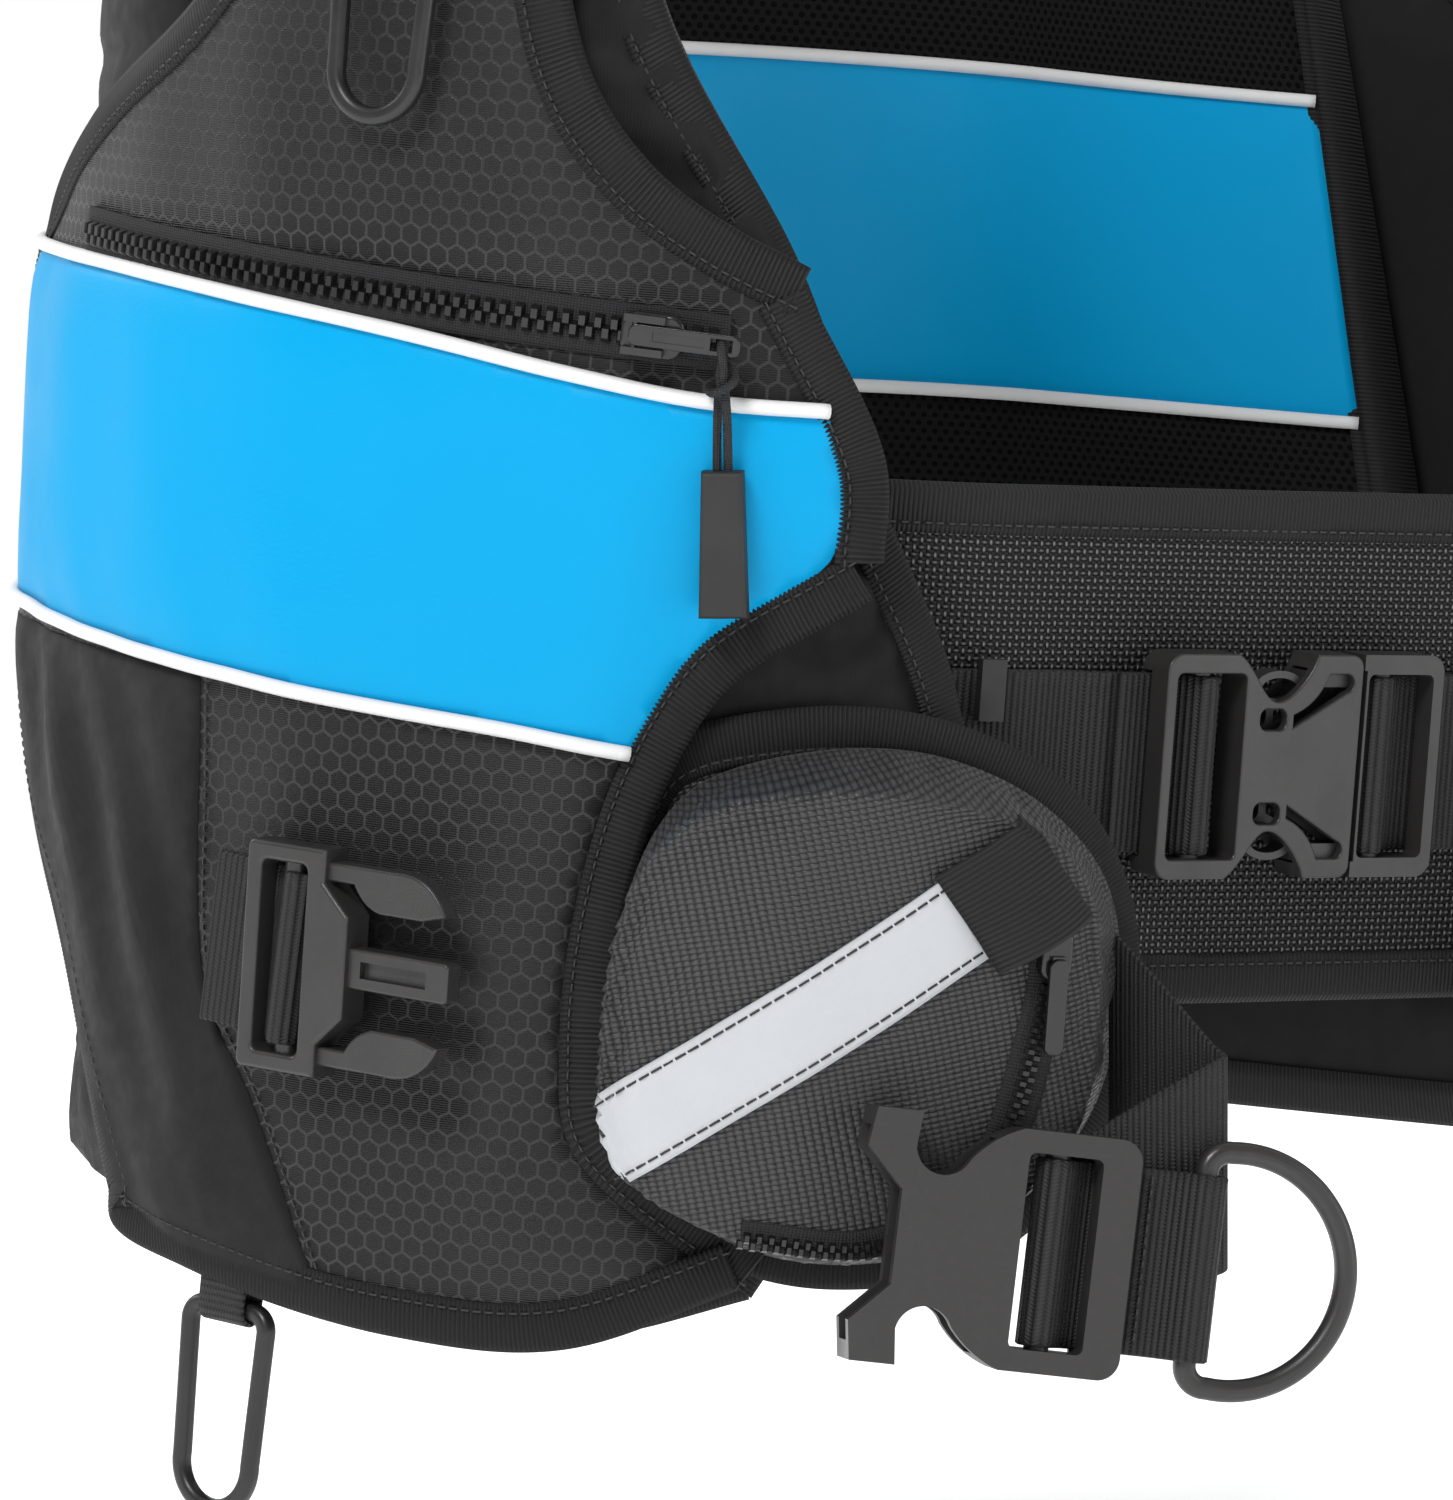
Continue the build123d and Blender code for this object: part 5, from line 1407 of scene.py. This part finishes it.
def front_to_row(at):
    return place(at[..., 0], at[..., 1], at[..., 2])


def in_metres(at):
    return at * MM


CLIP_WEB_W = 47.0         # webbing as it lies in a 50 mm side-release clip
BUCKLE_X, BUCKLE_OFF = -62.0, BELT_IN + 2.2 + 6.5 + 1.7
CONTOUR_BAR, CONTOUR_PLUG_BAR, CONTOUR_MATED = 15.0, 19.0, 96.0
BELT_TAIL = 48.0
BELT_FROM = -58.0         # where the belt comes out from under the lobe
RIGHTWARD = (0, 1, 0)


def belt_line(last_x):
    """The middle of the belt's webbing from the right side to last_x, in the leaning frame."""
    plan, _ = waist_plan(BELT_IN + 1.1, BELT_FROM, last_x, 3.0)
    return np.stack([plan[:, 0], plan[:, 1], np.full(len(plan), BELT_H)], 1)


def make_belt():
    socket_bar = BUCKLE_X + CONTOUR_BAR
    start = socket_bar - 26
    belt = belt_line(-LOBE_X + 1)
    far = -BUCKLE_OFF - LAYERS[0] - 1.1
    climb = np.array([[-LOBE_X + 5, -BELT_IN - 1.2, BELT_H], [start - 4, far + 1.0, BELT_H],
                      [start + 3, far, BELT_H]])
    line = even(np.vstack([belt[::4], climb]), 2.0)
    on_front = web_along(line, (0, 0, 1), front_to_row)
    socket_row = frame_to_row((socket_bar, -BUCKLE_OFF, BELT_H), (1, 0, 0), (0, -1, 0), leaning=True)
    loop = web_along(bar_loop(25), RIGHTWARD, socket_row)
    right = mesh_object("right_belt_webbing", *join(on_front, loop), WEB)
    settle(right, ["waist_belt"])
    left_web = web_along(belt_line(-64), (0, 0, 1), front_to_row)
    left = mesh_object("left_belt_webbing", *left_web, WEB, mirror=True)
    settle(left, ["waist_belt"])
    plug_bar = BUCKLE_X + CONTOUR_MATED - CONTOUR_PLUG_BAR
    plug_row = frame_to_row((plug_bar, -BUCKLE_OFF, BELT_H), (-1, 0, 0), (0, -1, 0), leaning=True)
    tail = mesh_object("waist_belt_tail", *web_along(bar_loop(BELT_TAIL), RIGHTWARD, plug_row), WEB)
    settle(tail, ["waist_tail"], "waist_plug")


# ---- release straps ----
# from behind the pouch the webbing turns forward and back to its seam on the level strap
HANGING = [(-90.6, -196.5, -77.2), (-84.6, -212.1, -92.3), (-79.0, -227.9, -108.1), (-78.6, -232.3, -110.7),
           (-83.1, -233.6, -112.1), (-103.1, -227.6, -123.1), (-121.9, -221.4, -134.9)]
SOCKET_AT = (-132.5, -226.9, -133.0)
STRAP_ALONG, STRAP_SLOPE = (0.9445, -0.3284), -7.0
SEAM_AT, RING_AT = 30.5, 42.5


def make_straps():
    dx, dy = STRAP_ALONG
    flat, drop = math.cos(math.radians(STRAP_SLOPE)), math.sin(math.radians(STRAP_SLOPE))
    x_dir, z_dir = (-dx * flat, -dy * flat, -drop), (dy, -dx, 0)
    level_row = frame_to_row(SOCKET_AT, x_dir, z_dir)
    ring_end = half_turn(5.0, (80, 280), 20) + [-RING_AT, 0, sum(LAYERS) / 2]
    bar_end = half_turn(BAR_LOOP, (-100, 100), 20)
    low, high = LAYERS[0] + 1.1, LAYERS[1] - 1.1
    lower = np.array([[-32, 0, low - 0.1], [-20, 0, low], [-9, 0, low - 0.1]])
    upper = np.array([[-9, 0, high], [-20, 0, high], [-32, 0, high + 0.1]])
    line = even(np.vstack([bar_end[::3], upper, ring_end[::3], lower]), 1.2, True)
    level = web_along(line, RIGHTWARD, level_row, closed=True)

    centre = even(np.array(HANGING) - [0, TANK_Y, TANK_Z], 1.2)
    hanging = web_along(centre, (0, 0, 1), in_metres, width=58)
    both_sides("strap_webbing", join(level, hanging), WEB, ["{side}_weight_strap"],
               "{side}_strap")
    cross = []
    for x in (-SEAM_AT + 3.5, -SEAM_AT - 3.5):
        rows = np.arange(-22, 22, 3.2)
        local = np.stack([np.full(len(rows), x), rows, np.full(len(rows), LAYERS[1] + 0.05)], 1)
        at = level_row(local)
        ahead = unit(level_row(local + [0, 1, 0]) - at)
        cross.append(beads(at, ahead, unit(level_row(local + [0, 0, 1]) - at), (2.4, 0.8, 0.5)))
    both_sides("strap_stitching", join(*cross), THREAD, (), "{side}_strap", smooth=False)


# ---- pocket clip tabs and ring tabs ----
CLIP_PHI, CLIP_H, CLIP_R = -62.5, -43.0, POCKET_R[1] + 9.0
CHEST_RING = (-60.3, POCKET_R[1] + 5.2, 240.0)
HEM_RING = (-70.0, sum(POCKET_R) / 2 - 3, -146.0)
RING_WIRE, RING_TAB_W = 5.0, 16.6


def facing(phi, radius, height, turn=0.0, scale=1.0):
    """Row metres from a plane on the right lobe: X towards the front, Z outward."""
    a, t = math.radians(phi), math.radians(turn)
    origin = (-LOBE_X + radius * math.sin(a), -radius * math.cos(a), height)
    along = np.array([math.cos(a), math.sin(a), 0])
    x_dir = along * math.cos(t) + np.array([0, 0, math.sin(t)])
    return frame_to_row(origin, x_dir, (math.sin(a), -math.cos(a), 0), scale, leaning=True)


def make_tabs():
    clip_row = facing(CLIP_PHI, CLIP_R, CLIP_H, -4)
    both_sides("clip_tab", web_along(bar_loop(29), RIGHTWARD, clip_row, CLIP_WEB_W), WEB,
               ["clip_webbing"])

    def ring_loop(length):
        inner = RING_WIRE / 2 + 0.3 + 0.8
        turn = np.radians(np.linspace(-80, 80, 14))
        arc = np.stack([0 * turn, -inner * np.cos(turn), inner * np.sin(turn)], 1)
        back = np.array([[0, length, -inner], [0, length * 0.5, -inner], [0, 1.5, -inner]])
        ahead = np.array([[0, 1.5, inner], [0, length * 0.5, inner], [0, length, inner]])
        return even(np.vstack([back, arc[::3], ahead]), 0.8)

    chest = web_along(ring_loop(20.5), (1, 0, 0), facing(*CHEST_RING), RING_TAB_W, 1.5)
    both_sides("chest_ring_tab", chest, WEB, ["ring_tabs"])
    phi, radius, height = HEM_RING
    a = math.radians(phi)
    at = place(-LOBE_X + radius * math.sin(a), -radius * math.cos(a), height) / MM
    s, c = math.sin(LEAN), math.cos(LEAN)
    x_dir = np.array([math.cos(a), math.sin(a) * c, math.sin(a) * s])
    z_dir = unit(np.cross(x_dir, np.array([0, 0, 1.0])))
    origin = at + np.array([0, TANK_Y, TANK_Z])
    hem = web_along(ring_loop(14), (1, 0, 0), frame_to_row(origin, x_dir, z_dir), RING_TAB_W, 1.5)
    both_sides("hem_ring_tab", hem, WEB)


# ---- shoulders ----
SHOULDER_FROM, SHOULDER_DIR = (-95.0, 148.0), (-0.4888, -0.8724)
SHOULDER_PAD = (62.0, 9.0)
SHOULDER_PATH = [(9, 380), (14, 401), (24, 434), (66, 458), (126, 454), (200, 420), (258, 368), (292, 326)]
CLIP_DOWN = (0.58, -0.8146)
SHOULDER_BAR = (284.4, 357.7)
SHOULDER_SCALE = 0.8
CLIP_BAR, HOOK_BAR, HOOK_MATED = 13.4, 21.5, 103.0
SEWN_PHI = -57.0


def shoulder_row(t, across, z):
    """Row metres on the right shoulder's plan: t along it, across to its side."""
    dx, dy = SHOULDER_DIR
    return design(SHOULDER_FROM[0] + dx * t - dy * across, SHOULDER_FROM[1] + dy * t + dx * across, z)


def make_shoulders():
    wide, thick = SHOULDER_PAD
    path = even(np.array(SHOULDER_PATH, float), 5.0)
    path = path[1:-1]
    along = flow(path)
    up = np.stack([-along[:, 1], along[:, 0]], 1)
    span = run_length(path)
    across = np.linspace(-wide / 2, wide / 2, 25)
    u, v = np.meshgrid(span, across, indexing="ij")
    d = np.minimum.reduce([v + wide / 2, wide / 2 - v, u, span[-1] - u])
    full = 1 - np.exp(-d / 6)
    channel = np.exp(-((np.abs(v) - 17) / 2.2) ** 2)
    half = 1.6 + (thick / 2 + 0.6) * full - 1.7 * channel * full
    wave = ripple(u, v, 0.5, LOBE_WAVES)
    faces = []
    for sign in (1, -1):
        t = path[:, :1] + up[:, :1] * (sign * half + wave)
        z = path[:, 1:] + up[:, 1:] * (sign * half + wave)
        faces.append(shoulder_row(t, v, z))
    for piece in both_sides("shoulder_pad", grid_slab(faces[1], faces[0], span, across), PLAIN,
                            ["shoulder_straps"]):
        swell(piece, 2.5)
    tapes = []
    for edge in (-1, 1):
        fine = np.arange(0, span[-1], RIB / 2)
        p = np.stack([np.interp(fine, span, path[:, k]) for k in (0, 1)], 1)
        n = np.stack([np.interp(fine, span, up[:, k]) for k in (0, 1)], 1)
        ribs = ribbed(len(fine), 0.12)
        shaped = [(9, 0.5), (9, 5.4), (5, 5.2), (1.5, 4.2), (-0.8, 1.6), (-0.8, -1.6), (1.5, -4.2),
                  (5, -5.2), (9, -5.4), (9, -0.5)]
        rings = [shoulder_row(p[:, 0] + n[:, 0] * lift * ribs, edge * (wide / 2 - reach) + 0 * fine,
                              p[:, 1] + n[:, 1] * lift * ribs) for reach, lift in shaped]
        rings = np.stack(rings, 1)
        tapes.append(swept(rings if edge > 0 else rings[:, ::-1], fine, np.arange(len(shaped)) * 2.0))
    both_sides("shoulder_binding", join(*tapes), BINDING)

    dx, dy = SHOULDER_DIR
    down = unit(np.array([dx * CLIP_DOWN[0], dy * CLIP_DOWN[0], CLIP_DOWN[1]]))
    out = unit(np.array([-dx * CLIP_DOWN[1], -dy * CLIP_DOWN[1], CLIP_DOWN[0]]))

    def bar_at(travel):
        t, z = SHOULDER_BAR[0] + travel * CLIP_DOWN[0], SHOULDER_BAR[1] + travel * CLIP_DOWN[1]
        return (SHOULDER_FROM[0] + dx * t, SHOULDER_FROM[1] + dy * t, z)

    plug_row = frame_to_row(bar_at(0), down, out, SHOULDER_SCALE)
    both_sides("shoulder_web_tail", web_along(bar_loop(34), RIGHTWARD, plug_row, CLIP_WEB_W), WEB,
               ["{side}_shoulder_tail"], "{side}_shoulder_plug")
    mated = (HOOK_MATED - CLIP_BAR - HOOK_BAR) * SHOULDER_SCALE
    socket_row = frame_to_row(bar_at(mated), -down, out, SHOULDER_SCALE)
    loop = web_along(bar_loop(22), RIGHTWARD, socket_row, CLIP_WEB_W)
    start = socket_row(np.array([[-21.0, 0, sum(LAYERS) / 2], [-26.0, 0, sum(LAYERS) / 2]]))
    sewn = facing(SEWN_PHI, LOBE_R[1] + 1.4, 300)
    end = sewn(np.array([[0, 6.0, 0], [0, -6, 0], [0, -30, 0]]))
    line = even(np.vstack([start, end]) / MM, 2.0)
    first = unit(socket_row(np.array([0, 1.0, 0])) - socket_row(np.array([0, 0, 0])))
    last = unit(sewn(np.array([1.0, 0, 0])) - sewn(np.array([0, 0, 0])))
    last = last if first @ last > 0 else -last
    share = np.linspace(0, 1, len(line))[:, None]
    wide_dir = unit(first * (1 - share) + last * share)
    strip = web_along(line, wide_dir, in_metres, CLIP_WEB_W * SHOULDER_SCALE, 2.0)
    both_sides("shoulder_lower_web", join(loop, strip), WEB, ["shoulder_webbing"])


# ---- tank band ----
TANK_R, BAND_T = 92.0, 2.5


def make_tank_band():
    turn = np.linspace(0, 2 * math.pi, 240, endpoint=False)
    radius = TANK_R + BAND_T / 2
    line = np.stack([radius * np.cos(turn), radius * np.sin(turn), 0 * turn], 1)
    web = web_along(line, (0, 0, 1), in_metres, WEB_W, BAND_T - 0.1, closed=True)
    settle(mesh_object("tank_band_webbing", *web, WEB), ["tank_band"])


make_shell()
make_pad()
make_cummerbund()
make_belt()
make_straps()
make_tabs()
make_shoulders()
make_tank_band()
dress_cad()
make_studio()
